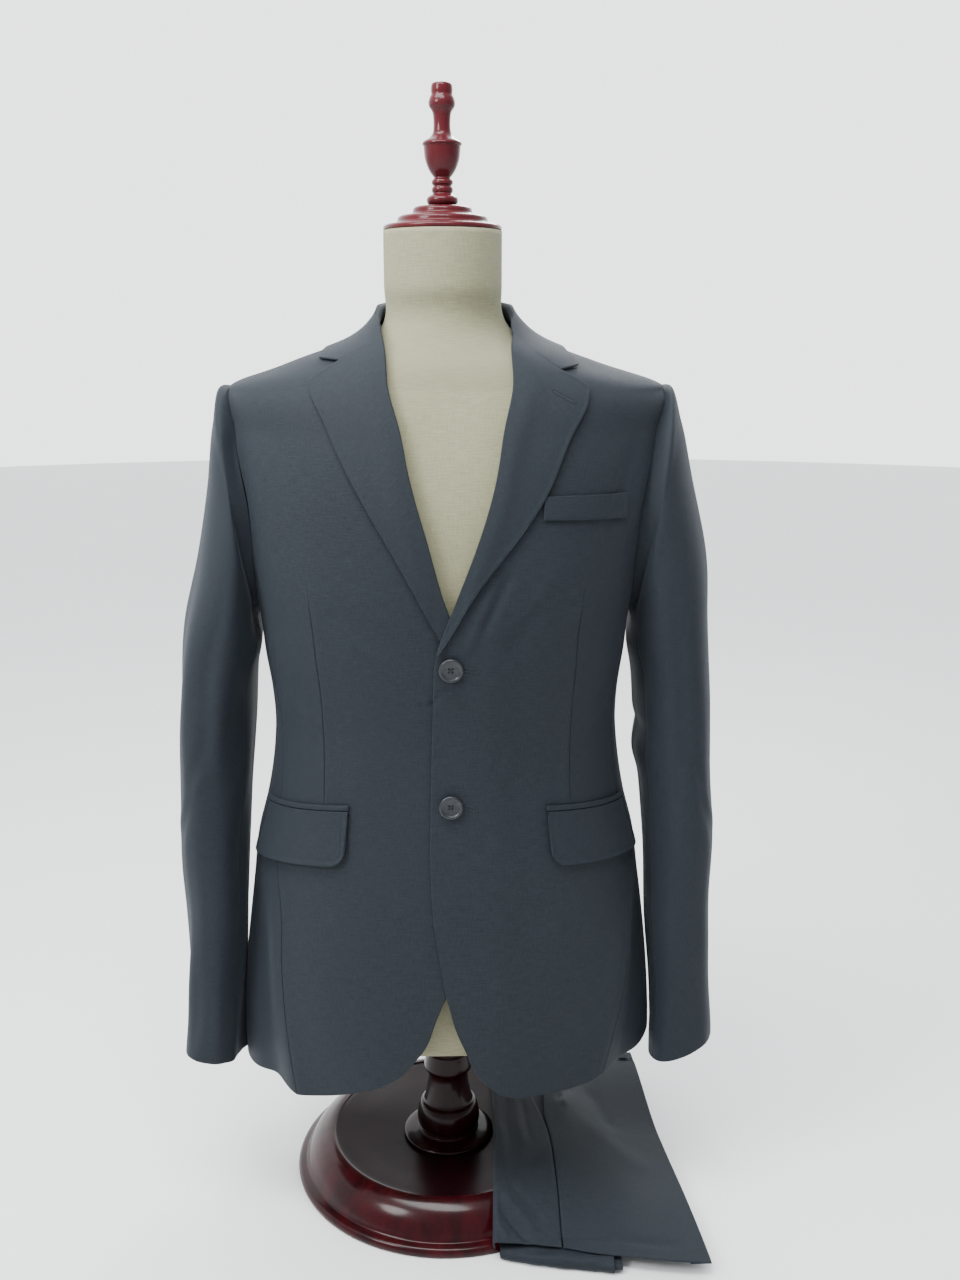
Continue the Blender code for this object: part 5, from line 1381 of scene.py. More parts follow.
    def collar(self) -> Sheet:
        """Stand, roll and fall of the collar as one folded sheet."""
        stations, fall_rows = 110, 46
        (left_roll, left_fall, left_notch), (right_roll, right_fall, right_notch) = (
            self.collar_half(side, stations) for side in Side)
        roll = np.vstack([left_roll, right_roll[-2::-1]])
        fall = np.vstack([left_fall, right_fall[-2::-1]])
        count = len(roll)
        from_end = np.minimum(np.arange(count), np.arange(count)[::-1])
        whole = ease(from_end / (stations - 1), 0.0, self.collar_hook[1])
        hook = self.collar_hook[0] + (1.0 - self.collar_hook[0]) * whole
        stand = self.collar_stand[0] + self.collar_stand[1] * whole
        near = np.clip(1.0 - from_end / ((stations - 1) * self.collar_end), 0.0, 1.0)[:, None]
        keys = np.array([(share * 0.02 + rise, lift) for share, rise, lift in self.collar_roll])
        along = running(np.hypot(*np.diff(keys, axis=0).T))
        base = self.collar_lift[0]
        rows = [(places(roll[:, 0], roll[:, 1] - stand * share + rise * hook), base + (lift - base) * hook)
                for share, rise, lift in smooth(along, self.collar_roll, np.linspace(0.0, along[-1], 25))]
        for share in np.linspace(0.0, 1.0, fall_rows + 1)[1:]:
            line = roll * (1 - share) + fall * share
            reach = min(share / self.collar_notch, 1.0)
            past = max((share - self.collar_notch) / (1.0 - self.collar_notch), 0.0)
            for end, notch, part in ((0, left_notch, slice(None, stations)),
                                     (-1, right_notch, slice(stations - 1, None))):
                sewn = (roll[end] * (1 - reach) + notch * reach) * (1 - past) + fall[end] * past
                line[part] += near[part] * (sewn - line[end].copy())
            lift = base + (self.collar_lift[1] - base) * ease(share, 0.0, 0.3)
            rows.append((line, lift - self.collar_end_draw * near[:, 0] * ease(share, 0.3, 1.0)))
        points = np.stack([self.body.point(line, lift) for line, lift in rows])[::-1]
        return self.sheet("collar_and_stand", points, Side.LEFT, self.light_wall, self.lapel_soft)

    def flap_grid(self, side: Side, low_share: float, top_share: float, rows: int, columns: int) -> Array:
        """Angle and height of a band on the pocket, with closer columns at its ends."""
        front, rear, front_top, rear_top, front_low, rear_low = self.flap.of(side)
        across = (0.5 - 0.5 * np.cos(np.linspace(0.0, math.pi, columns + 1)))[None, :]
        up = np.linspace(low_share, top_share, rows + 1)[:, None]
        low = front_low + (rear_low - front_low) * across
        top = front_top + (rear_top - front_top) * across
        return places(side.value * (front + (rear - front) * across), low + (top - low) * up)

    def flap_sheet(self, side: Side) -> Sheet:
        """The pocket flap, with rounded low corners and a free low edge."""
        grid, corner = self.flap_grid(side, 0.0, self.flap_top, 44, 90), self.flap_corner
        up = np.linspace(0.0, 1.0, len(grid))[:, None]
        cut = 0.0
        for end, share in zip((0, -1), self.flap_cuts):
            reach = np.abs(grid[0, :, 0] - grid[0, end, 0]) * DEGREE * 1.02
            cut = cut + share * (corner - np.sqrt(corner**2 - np.maximum(corner - reach, 0.0) ** 2))
        grid[..., 1] += cut * (1.0 - up) ** 1.6
        lift = self.flap_lift + self.flap_flare * (1.0 - up) ** 2 + self.body.fold_lift(grid)
        points = self.body.point(grid, lift)
        edges = to_edge(points)
        edge = np.minimum(np.minimum(edges["low"], edges["first"]), edges["last"])
        points = points + (self.body.point(grid, lift + 0.001) - points) * (
            0.35 * (1 - ease(edge, 0.0018, 0.005)) - 0.25 * bell(edge - 0.0056, 0.0012))[..., None]
        return self.sheet(f"flap_of_{side.word}_pocket", points, side, self.light_wall, self.flap_soft, grid)

    def jet_sheet(self, side: Side) -> Sheet:
        """The jet above the flap."""
        grid = self.flap_grid(side, 1.0, 1.0 + self.jet_share, 8, 70)
        up = np.linspace(-1.0, 1.0, len(grid))[:, None]
        lift = self.flap_lift - self.jet_round + self.jet_round * (1 - up**2) + self.body.fold_lift(grid)
        return self.sheet(f"jet_of_{side.word}_pocket", self.body.point(grid, lift), side,
                          self.trim_wall, self.trim_soft, grid)

    def welt_sheet(self) -> Sheet:
        """The breast pocket's welt."""
        (front, front_low, front_top), (rear, rear_low, rear_top) = self.welt
        across = np.linspace(0.0, 1.0, 70)[None, :]
        up = np.linspace(0.0, 1.0, 26)[:, None]
        low = front_low + (rear_low - front_low) * across
        height = low + (front_top + (rear_top - front_top) * across - low) * up
        grid = places(front + (rear - front) * across, height)
        points = self.body.point(grid, self.trim_wall + LAY + self.welt_lift + self.body.fine_lift(grid))
        edges = to_edge(points)
        sewn = np.minimum(edges["first"], edges["last"])
        lift = 0.0005 * ease(edges["low"], 0.0, 0.002) * ease(sewn, 0.0, 0.0015)
        lift = lift - 0.0004 * bell(sewn - 0.0026, 0.0009)
        return self.sheet("breast_pocket_welt", raised(points, lift), Side.LEFT,
                          self.trim_wall, self.trim_soft, grid)

    def build(self) -> None:
        """Build and fit every piece of the jacket's body and collar."""
        for side in Side:
            word = side.word
            front, lapel = self.front(side), self.lapel(side)
            self.faces |= {sheet.name: sheet.points for sheet in (front, lapel)}
            fit_cloth(front, f"front_{word}", Held.DRAPED, "form_torso")
            fit_cloth(self.side_panel(side), f"side_{word}", Held.DRAPED, "form_torso")
            fit_cloth(self.back(side), f"back_{word}", Held.DRAPED, "form_torso")
            fit_cloth(lapel, f"lapel_{word}", Held.FOLDED, front.name)
            fit_cloth(self.flap_sheet(side), f"pocket_flap_{word}", Held.DRAPED, front.name)
            fit_cloth(self.jet_sheet(side), f"pocket_jet_{word}", Held.DRAPED, front.name)
        fit_cloth(self.collar(), "collar", Held.FOLDED, "back_of_left", "back_of_right")
        fit_cloth(self.welt_sheet(), "breast_welt", Held.DRAPED, "front_of_left")


@dataclass
class Sleeves:
    """The two-piece sleeves, set to the armholes and hanging empty."""

    body: WornBody
    jacket: Jacket
    table: Table = Table((
        "inner_x", "inner_z", "left", "right", "outer_z", "middle_y", "half_depth", "front_rise", "front_in",
        "squareness"), (
        (0.185, 0.62, 0.2208, 0.2143, 0.8405, 0.002, 0.072, 0.0, 0.0, 2.0),
        (0.186, 0.612, 0.231, 0.2215, 0.81, 0.001, 0.077, 0.0, 0.0, 2.0),
        (0.185, 0.602, 0.243, 0.2285, 0.756, 0.0, 0.08, 0.0, 0.0, 2.0),
        (0.184, 0.588, 0.257, 0.2405, 0.686, -0.002, 0.081, 0.0, 0.0, 2.0),
        (0.1885, 0.562, 0.2605, 0.256, 0.62, -0.004, 0.08, 0.0, 0.0, 2.1),
        (0.193, 0.51, 0.266, 0.265, 0.535, -0.007, 0.077, 0.002, 0.001, 2.2),
        (0.197, 0.45, 0.2703, 0.268, 0.46, -0.012, 0.073, 0.004, 0.002, 2.3),
        (0.203, 0.385, 0.2722, 0.268, 0.388, -0.018, 0.069, 0.008, 0.003, 2.4),
        (0.2056, 0.32, 0.2708, 0.265, 0.321, -0.024, 0.066, 0.01, 0.004, 2.5),
        (0.2108, 0.252, 0.2726, 0.2652, 0.252, -0.029, 0.063, 0.014, 0.004, 2.7),
        (0.2138, 0.2, 0.2756, 0.2664, 0.2, -0.033, 0.059, 0.015, 0.004, 3.1),
        (0.215, 0.153, 0.2768, 0.2678, 0.156, -0.036, 0.057, 0.016, 0.004, 3.6)))
    # How far each row's front rolls over towards the body.
    rolls_in: tuple = (0.006, 0.01, 0.01, 0.007, 0.003, 0.0, 0.0, 0.0, 0.0, 0.0, 0.0, 0.0)
    cuff_turn: BySide = BySide(left=0.006, right=-0.006)  # how far the cuff's front is turned in
    cuff_rise: BySide = BySide(left=(0.02, 0.0), right=(0.007, 0.005))  # of its outer side, of the whole
    forearm_seam: Pair = (152.0, 146.0)
    hindarm_seam: Pair = (-110.0, -48.0)
    length: float = 0.7
    soft: float = 0.0004
    steps: tuple[int, int, int] = (190, 84, 44)  # up it, across its top piece, across its under piece
    rope: float = 0.0005  # the sleeve head's roll over the seam
    head_dip: float = 0.0007  # the dip below it
    swell: float = 0.0011
    # Folds at the left elbow's inner side: share of the way down, spread, rise.
    elbow: Pairs = ((0.445, 0.032, 0.004), (0.386, 0.018, -0.0026))
    # Long folds: degrees round and share of the way down at the top, share and degrees at the low end, rise, spread.
    folds: Pairs = (
        (30.0, 0.12, 0.62, 10.0, -0.002, 15.0), (58.0, 0.2, 0.95, 50.0, 0.0016, 12.0),
        (80.0, 0.1, 0.55, 96.0, -0.0018, 12.0), (100.0, 0.35, 0.62, 40.0, -0.0016, 9.0),
        (96.0, 0.44, 0.6, 20.0, 0.0012, 10.0), (-30.0, 0.15, 0.8, -20.0, -0.0016, 13.0),
        (-70.0, 0.4, 0.6, -30.0, -0.0014, 9.0), (120.0, 0.06, 0.34, 150.0, -0.0022, 14.0))

    def section(self, side: Side, row: int, turns: Array) -> Array:
        """Points round one row of the table, counted up from the cuff, at degrees round from the outer side."""
        entry = dict(zip(self.table.columns, self.table.rows[-1 - row]))
        power = 2.0 / entry["squareness"]
        cosine, sine = np.cos(np.radians(turns)), np.sin(np.radians(turns))
        outward = np.sign(cosine) * np.abs(cosine) ** power
        forward = np.sign(sine) * np.abs(sine) ** power
        reach = (1 + outward) / 2
        x = entry["inner_x"] + (entry[side.word] - entry["inner_x"]) * reach - entry["front_in"] * forward
        x = x - self.rolls_in[-1 - row] * np.maximum(forward, 0.0) ** 2
        x = x - self.cuff_turn.of(side) * 0.5**row * forward
        z = entry["inner_z"] + (entry["outer_z"] - entry["inner_z"]) * reach + entry["front_rise"] * forward
        if row == 0:
            outer_rise, whole_rise = self.cuff_rise.of(side)
            z = z + whole_rise + outer_rise * np.maximum((outward + 0.6) / 1.6, 0.0) ** 2
        return places(side.value * x, entry["middle_y"] - entry["half_depth"] * forward, z)

    def lines(self, side: Side, turns: Array) -> Array:
        """The armhole's line and every row's down to the cuff, each at its own degrees round."""
        count = len(self.table.rows)
        rim = self.body.point(self.jacket.armhole(turns[0], side), -0.001)
        return np.array([rim] + [self.section(side, count - row, turns[row]) for row in range(1, count + 1)])

    def grid(self, side: Side, under: bool, rows: int, columns: int) -> tuple[Array, Array, Array]:
        """One sleeve piece's points.

        Args:
            side: which sleeve.
            under: the under piece, or the top one.
            rows: rows of cells from cuff to head.
            columns: columns of cells across.

        Returns:
            The points from the cuff up, the degrees round of each, and its share of the way down.
        """
        count = len(self.table.rows) + 1
        fore, hind = np.linspace(*self.forearm_seam, count), np.linspace(*self.hindarm_seam, count)
        start, stop = (fore, hind + 360.0) if under else (hind, fore)
        turns = start[:, None] + (stop - start)[:, None] * np.linspace(0.0, 1.0, columns + 1)
        around = np.broadcast_to(np.linspace(-180.0, 180.0, 73), (count, 73))
        keys = running(np.linalg.norm(np.diff(self.lines(side, around), axis=0), axis=-1).mean(1))
        at = keys[-1] * np.linspace(0.0, 1.0, rows + 1) ** 1.12
        points, fine_turns = (smooth(keys, values, at)[::-1] for values in (self.lines(side, turns), turns))
        down = (at / keys[-1])[::-1, None] + 0 * fine_turns
        run = slice(None, None, -side.value)
        return points[:, run], fine_turns[:, run], down[:, run]

    def crease_lift(self, side: Side, turns: Array, down: Array) -> Array:
        """Rise of the sleeve's rope, its long folds and its uneven swell."""
        turn, drop = wrapped(turns), down * self.length
        total = self.rope * bell(drop - 0.01, 0.007) * bell(turn, 62.0)
        total = total - self.head_dip * bell(drop - 0.034, 0.014) * bell(turn, 50.0)
        total = total + self.swell * swirl(turn / 34.0, down / 0.16, 11 + side.value)
        if side is Side.LEFT:
            bends = sum(rise * bell(down - middle, spread) for middle, spread, rise in self.elbow)
            total = total + bell(wrapped(turns - 180.0), 38.0) * bends
        for top_turn, top, low, low_turn, rise, spread in self.folds:
            share = (down - top) / (low - top)
            line = top_turn + (low_turn - top_turn) * share
            total = total + rise * bell(wrapped(turn - line), spread) * between(share, 0.3)
        return total * ease(down, 0.0, 0.006)

    def piece(self, side: Side, under: bool) -> Sheet:
        """One sleeve piece."""
        points, turns, down = self.grid(side, under, self.steps[0], self.steps[1 + under])
        return Sheet(f"{'under' if under else 'top'}_sleeve_{side.word}",
                     raised(points, self.crease_lift(side, turns, down)),
                     self.jacket.wall, self.jacket.finishes.worsted, self.soft)

    def build(self) -> None:
        """Build and fit both sleeves."""
        for side in Side:
            for under, kind in ((False, "top"), (True, "under")):
                fit_cloth(self.piece(side, under), f"sleeve_{kind}_{side.word}", Held.DRAPED,
                          f"front_of_{side.word}", f"back_of_{side.word}")


@dataclass
class Buttons:
    """Horn buttons, their thread and the buttonholes."""

    body: WornBody
    sleeves: Sleeves
    finishes: Finishes
    stitcher: Stitcher
    front: Pairs = (("upper", 0.0049, 0.598), ("lower", 0.0042, 0.4651))
    # Buttonholes: name, the piece it is worked in, x and height of both ends.
    slits: tuple = (
        ("upper_buttonhole", "front_of_left", (0.009, 0.6), (0.0285, 0.5955)),
        ("lower_buttonhole", "front_of_left", (0.0085, 0.468), (0.028, 0.461)),
        ("lapel_buttonhole", "lapel_left_roll", (0.097, 0.8425), (0.117, 0.832)))
    slit_half: float = 0.0016
    front_radius: float = 0.0112
    cuff_radius: float = 0.0075
    cuff_first: float = 0.068
    cuff_step: float = 0.0163
    cuff_turn: float = 16.0
    front_lift: float = 0.0007  # of its back over the cloth
    cuff_lift: float = 0.0009
    shank: tuple[float, float, float] = (0.00016, 0.0009, 0.00024)  # stitches: pitch, length, radius
    ring: tuple[float, float, float] = (0.00042, 0.0013, 0.00027)
    bar: tuple[float, float, float] = (0.00042, 0.0014, 0.0003)
    bar_half: float = 0.0019
    bar_past: float = 0.0006  # how far past the slit's end it lies
    thread_lift: float = 0.0001
    # Shares of the radius: the holes' distance from the middle, their depth, where their walls lie,
    # the thread's height at the holes and its rise between them.
    hole_share: float = 0.19
    hole_depth: float = 0.15
    hole_wall: Pair = (0.045, 0.095)
    thread_arch: Pair = (0.215, 0.035)
    # Half a button's section, shares of the radius: out, up.
    section: Pairs = (
        (0.7, 0.0), (0.86, 0.045), (0.96, 0.11), (1.0, 0.2), (0.985, 0.275), (0.94, 0.325), (0.88, 0.345),
        (0.82, 0.335), (0.765, 0.295), (0.72, 0.255), (0.66, 0.232), (0.55, 0.222), (0.44, 0.214), (0.36, 0.208),
        (0.3, 0.205), (0.25, 0.203), (0.21, 0.202), (0.17, 0.201), (0.13, 0.2), (0.09, 0.2), (0.05, 0.2))
    face_row: int = 8  # last row of it outside the sunk face

    def disc(self, name: str, radius: float, place: Array, rotation: Array) -> Piece:
        """One button with four sunk holes.

        Args:
            name: its name.
            radius: its radius.
            place: the middle of its back.
            rotation: turns its face, which looks up, to where it looks.

        Returns:
            The object.
        """
        turn = np.arange(40) * 2 * math.pi / 40
        section = np.array(self.section)
        x, y = section[:, :1] * np.cos(turn), section[:, :1] * np.sin(turn)
        z = np.broadcast_to(section[:, 1:], x.shape).copy()
        face = np.arange(len(section))[:, None] > self.face_row
        for corner in range(4):
            at = math.radians(45.0 + 90.0 * corner)
            gap = np.hypot(x - self.hole_share * math.cos(at), y - self.hole_share * math.sin(at))
            z -= face * self.hole_depth * (1.0 - ease(gap, *self.hole_wall))
        return closed_loft(name, places(x, y, z) * radius @ rotation.T + place, self.finishes.horn)

    def threads(self, name: str, radius: float, place: Array, rotation: Array) -> Piece:
        """The crossed thread through a button's holes."""
        reach = np.linspace(-1.0, 1.0, 9)
        low, rise = self.thread_arch
        pieces = []
        for index, turn in enumerate(np.radians((45.0, 135.0))):
            across = reach * self.hole_share * radius
            line = places(across * np.cos(turn), across * np.sin(turn), (low + rise * (1 - reach**2)) * radius)
            pieces.append(self.stitcher.sew(f"{name}_{index}", line @ rotation.T + place, rotation[:, 2],
                                            *self.shank, across=False))
        return joined(name, pieces)

    def sew_on(self, name: str, node: str, radius: float, place: Array, out: Array) -> None:
        """Build and fit a button and its thread.

        Args:
            name: its name.
            node: CAD node that it stands for.
            radius: its radius.
            place: the middle of its back.
            out: where its face looks.
        """
        rotation = np.array(Vector(out).to_track_quat("Z", "Y").to_matrix())
        fit(self.disc(name, radius, place, rotation), "dark_horn", node)
        fit(self.threads(f"{name}_thread", radius, place, rotation), "charcoal_suiting")

    def buttonhole(self, name: str, face: Array, start: tuple, end: tuple) -> Piece:
        """A worked buttonhole: a slit bound by a close row of thread, with a bar across its far end.

        Args:
            name: its name.
            face: outer face of the cloth that it is worked in.
            start: x and height of its near end.
            end: x and height of its far end.

        Returns:
            The object.
        """
        start, end = np.array(start), np.array(end)
        long = float(np.hypot(*(end - start)))
        aim = (end - start) / long
        aside = np.array([-aim[1], aim[0]])
        turn = np.linspace(0.0, 2 * math.pi, 90, endpoint=False)[:, None]
        x = long / 2 * np.sign(np.cos(turn)) * np.abs(np.cos(turn)) ** 0.3
        y = self.slit_half * np.sign(np.sin(turn)) * np.abs(np.sin(turn)) ** 0.5
        ring = (start + end) / 2 + x * aim + y * aside
        bar = end + aim * self.bar_past + np.linspace(-self.bar_half, self.bar_half, 7)[:, None] * aside
        pieces = []
        for kind, spots, sizes in (("ring", ring, self.ring), ("bar", bar, self.bar)):
            line, out = settled(face, spots)
            pieces.append(self.stitcher.sew(f"{name}_{kind}", line + out * self.thread_lift, out, *sizes,
                                            closed=kind == "ring"))
        return joined(name, pieces)

    def build(self) -> None:
        """Build and fit every button, its thread and the buttonholes."""
        body = self.body
        for name, piece, start, end in self.slits:
            fit(self.buttonhole(name, self.sleeves.jacket.faces[piece], start, end), "charcoal_suiting")
        for word, *spot in self.front:
            spot = body.on_body(spot)
            place = body.point(spot, body.overlap_lift(spot, Side.LEFT) + self.front_lift)
            out = body.point(spot, 1.0) - body.point(spot, 0.0)
            self.sew_on(f"{word}_button", f"front_button_{word}", self.front_radius, place, out)
        for side in Side:
            turns = self.sleeves.hindarm_seam[1] + self.cuff_turn + np.array([-4.0, 0.0, 4.0])
            rows = np.array([self.sleeves.section(side, row, turns) for row in range(4)])
            for index in range(4):
                height = rows[0, 1, 2] + self.cuff_first + index * self.cuff_step
                spots = np.array([[np.interp(height, rows[:, col, 2], rows[:, col, axis]) for axis in range(3)]
                                  for col in range(3)])
                out = np.cross(spots[2] - spots[0], (0.0, 0.0, 1.0))
                out *= side.value * np.sign(out[0]) / np.linalg.norm(out)
                self.sew_on(f"cuff_button_of_{side.word}_{index + 1}", f"cuff_button_{side.word}_{index + 1}",
                            self.cuff_radius, spots[1] + out * self.cuff_lift, out)


def joined(name: str, pieces: list) -> Piece:
    """Several plain meshes as one object.

    Args:
        name: the new object's name.
        pieces: the objects, which are used up.

    Returns:
        The joined object.
    """
    first = pieces[0]
    with bpy.context.temp_override(active_object=first, selected_editable_objects=pieces, selected_objects=pieces):
        bpy.ops.object.join()
    first.name = first.data.name = name
    return first


@dataclass
class DressForm:
    """The padded torso under its linen cover, with its neck cap and finial."""

    body: WornBody
    finishes: Finishes
    depth: Table = Table(("height", "depth"), (
        (0.185, 0.014), (0.3, 0.016), (0.42, 0.01), (0.52, 0.007), (0.62, 0.008), (0.72, 0.0105), (0.79, 0.0098),
        (0.835, 0.0083), (0.85, 0.0069), (0.87, 0.0064), (0.885, 0.009), (0.9, 0.01), (0.924, 0.0095)))
    low: float = 0.2
    low_steps: tuple = (0.0, 0.0003, 0.0012, 0.003, 0.006)  # heights of the rings of its rounded low edge
    low_draw: float = 0.006  # how far that edge is drawn in
    worn_top: float = 0.924
    neck_radius: float = 0.0555
    neck_top: float = 0.984
    neck_blend: Pair = (0.886, 0.936)
    cap: Pairs = (
        (0.0, 1.006), (0.0235, 1.006), (0.0275, 1.004), (0.028, 0.9985), (0.039, 0.9975), (0.042, 0.9955),
        (0.0425, 0.9905), (0.053, 0.9895), (0.0555, 0.9875), (0.0555, 0.985), (0.054, 0.9843), (0.0, 0.9843))
    finial: Pairs = (
        (0.0, 1.113), (0.0082, 1.113), (0.0097, 1.111), (0.01, 1.106), (0.0096, 1.103), (0.0112, 1.1002),
        (0.0124, 1.096), (0.012, 1.0925), (0.0084, 1.088), (0.0076, 1.078), (0.0082, 1.07), (0.011, 1.066),
        (0.0165, 1.063), (0.0182, 1.0614), (0.0184, 1.0598), (0.0172, 1.0588), (0.0171, 1.057), (0.0163, 1.0475),
        (0.013, 1.0385), (0.0092, 1.033), (0.0072, 1.031), (0.0098, 1.0285), (0.01, 1.0255), (0.008, 1.024),
        (0.0098, 1.022), (0.01, 1.019), (0.0084, 1.017), (0.014, 1.014), (0.015, 1.011), (0.0136, 1.0075),
        (0.0105, 1.0063), (0.0, 1.0063))

    def torso(self) -> Piece:
        """The torso, drawn in to a round neck."""
        heights = np.concatenate([
            self.low + np.array(self.low_steps), np.linspace(0.21, 0.8, 56),
            np.linspace(0.81, 0.95, 48), np.linspace(0.954, self.neck_top, 8)])
        angles = np.arange(120) * 3.0 - 180.0
        turn = np.radians(angles)
        rings = []
        for height in heights:
            depth = float(self.depth.read("height", "depth", height))
            depth += self.low_draw * (1.0 - ease(height, self.low, self.low + self.low_steps[-1])) ** 2
            under = self.body.point(places(angles, min(height, self.worn_top)), -depth)
            neck = places(self.neck_radius * np.sin(turn), -self.neck_radius * np.cos(turn), height)
            share = float(ease(height, *self.neck_blend))
            rings.append(under * (1 - share) + neck * share)
        rings[0][:, 2] = self.low
        return closed_loft("linen_torso", np.array(rings), self.finishes.linen)

    def build(self) -> None:
        """Build and fit the form."""
        fit(self.torso(), "form_linen", "form_torso")
        fit(turned("neck_cap_plate", self.cap, self.finishes.red_lacquer), "mahogany_lacquer", "neck_cap")
        fit(turned("turned_finial", self.finial, self.finishes.red_lacquer), "mahogany_lacquer", "finial")


@dataclass
class Stand:
    """The turned pole and the domed foot."""

    finishes: Finishes
    pole: Pairs = (
        (0.0, 0.205), (0.0225, 0.205), (0.0225, 0.134), (0.024, 0.1325), (0.0244, 0.127), (0.0262, 0.115),
        (0.0256, 0.112), (0.0216, 0.1095), (0.0213, 0.103), (0.0222, 0.093), (0.024, 0.083), (0.0262, 0.0745),
        (0.0272, 0.0728), (0.03, 0.0712), (0.0322, 0.065), (0.0338, 0.057), (0.0341, 0.051), (0.033, 0.0455),
        (0.0298, 0.0422), (0.032, 0.0412), (0.0328, 0.0398), (0.0324, 0.0386), (0.042, 0.0382), (0.0478, 0.0368),
        (0.049, 0.035), (0.0487, 0.0325), (0.0, 0.0325))
    base: Pairs = (
        (0.0, 0.0318), (0.05, 0.032), (0.085, 0.035), (0.112, 0.0388), (0.1235, 0.0404), (0.125, 0.042),
        (0.129, 0.042), (0.134, 0.04), (0.142, 0.0345), (0.1485, 0.027), (0.153, 0.0185), (0.1555, 0.0115),
        (0.159, 0.0105), (0.1635, 0.009), (0.1655, 0.005), (0.1648, 0.001), (0.1635, 0.0), (0.0, 0.0))

    def build(self) -> None:
        """Build and fit the stand."""
        fit(turned("turned_pole", self.pole, self.finishes.lacquer), "mahogany_lacquer", "pole")
        fit(turned("domed_foot", self.base, self.finishes.foot_lacquer, 160), "mahogany_lacquer", "stand_base")


@dataclass
class Trousers:
    """The folded trousers, laid over the foot's right front."""

    finishes: Finishes
    wall: float = 0.0018
    trim_wall: float = 0.0013
    pile: Table = Table(("y", "left", "right"), (
        (0.145, 0.053, 0.2235), (0.1, 0.052, 0.2265), (0.02, 0.0505, 0.2332), (-0.04, 0.05, 0.2395),
        (-0.09, 0.048, 0.2455), (-0.14, 0.0455, 0.2502), (-0.19, 0.0435, 0.254)))
    pile_back: float = 0.145
    front_line: Table = Table(("x", "y"), (
        (0.04, -0.17), (0.095, -0.1685), (0.16, -0.1825), (0.23, -0.195), (0.255, -0.1965)))
    height: Table = Table(("distance", "under", "top"), (
        (0.0, 0.045, 0.059), (0.11, 0.045, 0.0585), (0.128, 0.0461, 0.0558), (0.138, 0.0444, 0.052),
        (0.15, 0.0342, 0.0462), (0.16, 0.025, 0.0408), (0.17, 0.016, 0.0354), (0.18, 0.0072, 0.0306),
        (0.19, 0.0, 0.0268), (0.21, 0.0, 0.0216), (0.25, 0.0, 0.0178), (0.32, 0.0, 0.017)))
    back_rise: float = 0.018
    front_drop: float = 0.01
    side_seam: Table = Table(("y", "seam", "pocket"), (
        (0.126, 0.099, 0.073), (0.015, 0.106, 0.0955), (-0.02, 0.105, 0.1035), (-0.039, 0.1075, 0.107),
        (-0.089, 0.1105, 0.11), (-0.14, 0.112, 0.1115), (-0.19, 0.112, 0.1115)))
    waistband: Pair = (0.126, 0.1475)
    layer_insets: tuple = (0.0045, 0.0065, 0.003)  # of the hidden folds, from the lowest
    layer_front: float = -0.158
    layer_fill: float = 0.94  # share of its room that a layer fills
    layer_under: float = 0.003  # gap under the top leg
    layer_ends: Pair = (0.006, 0.005)  # how far its ends and its sides are rounded
    soft: float = 0.0006
    wave: Pair = (0.0006, 230.0)  # rise and rate of the top layer's long waves
    swell: tuple = (0.0006, 0.035, 0.05)  # its uneven swell: rise, size across, size along
    under_edge: Pair = (0.02, -0.0012)  # how far inside the right edge the under leg's sheet starts and ends
    under_step: float = 0.0035  # how far behind the top leg's front edge it lies
    under_gap: float = 0.0016
    least_height: float = 0.0163
    seam_sink: float = 0.0007
    edge_radius: float = 0.004  # the front panel's roll over the pile's left edge
    edge_inset: float = 0.0024
    loop_half: float = 0.005
    loop_rise: Pair = (0.0016, 0.0004)  # along it, across it
    loop_soft: float = 0.0005
    # Small folds: start x and y, end x and y, rise, spread.
    folds: Pairs = (
        (0.064, 0.06, 0.066, -0.09, -0.0014, 0.0038), (0.072, 0.05, 0.078, -0.08, 0.0012, 0.0044),
        (0.082, 0.02, 0.086, -0.07, -0.0009, 0.0034), (0.056, -0.02, 0.06, -0.13, 0.001, 0.004),
        (0.12, 0.01, 0.142, 0.06, -0.0022, 0.005), (0.13, 0.0, 0.128, 0.05, 0.0016, 0.004),
        (0.16, 0.07, 0.184, -0.01, -0.002, 0.009), (0.14, 0.0, 0.226, -0.07, 0.0012, 0.014),
        (0.046, -0.138, 0.082, -0.168, -0.0034, 0.0032), (0.05, -0.128, 0.092, -0.16, 0.0022, 0.0036),
        (0.056, -0.118, 0.1, -0.15, -0.0016, 0.0036), (0.044, -0.15, 0.06, -0.166, 0.0018, 0.003),
        (0.1, -0.15, 0.24, -0.176, -0.0012, 0.006))
    belt_loops: Pairs = (("near", 0.122), ("far", 0.212))
    roll_nose: Table = Table(("x", "y"), (
        (0.04, -0.164), (0.05, -0.169), (0.07, -0.1758), (0.09, -0.18), (0.16, -0.193), (0.17, -0.1945)))
    roll_section: Pairs = (
        (0.0192, 0.0), (0.007, 0.0), (0.0022, 0.0018), (0.0, 0.0062), (0.0022, 0.0108), (0.007, 0.0126),
        (0.0192, 0.0128))

    def top(self, x: Array, y: Array) -> Array:
        """Height of the pile's top layer, with its large waves."""
        distance = np.hypot(x, y)
        height = self.height.read("distance", "top", distance)
        height = height + self.back_rise * ease(y, 0.0, 0.13) * ease(distance, 0.12, 0.2)
        front = ease(-np.asarray(y), 0.12, 0.165) * (1.0 - ease(x, 0.1, 0.19))
        rise, rate = self.wave
        soft = rise * np.sin((x - 0.045) * rate) * ease(-x, -0.1, -0.06) * ease(y, -0.16, -0.05)
        return np.maximum(height - self.front_drop * front + soft, self.least_height)

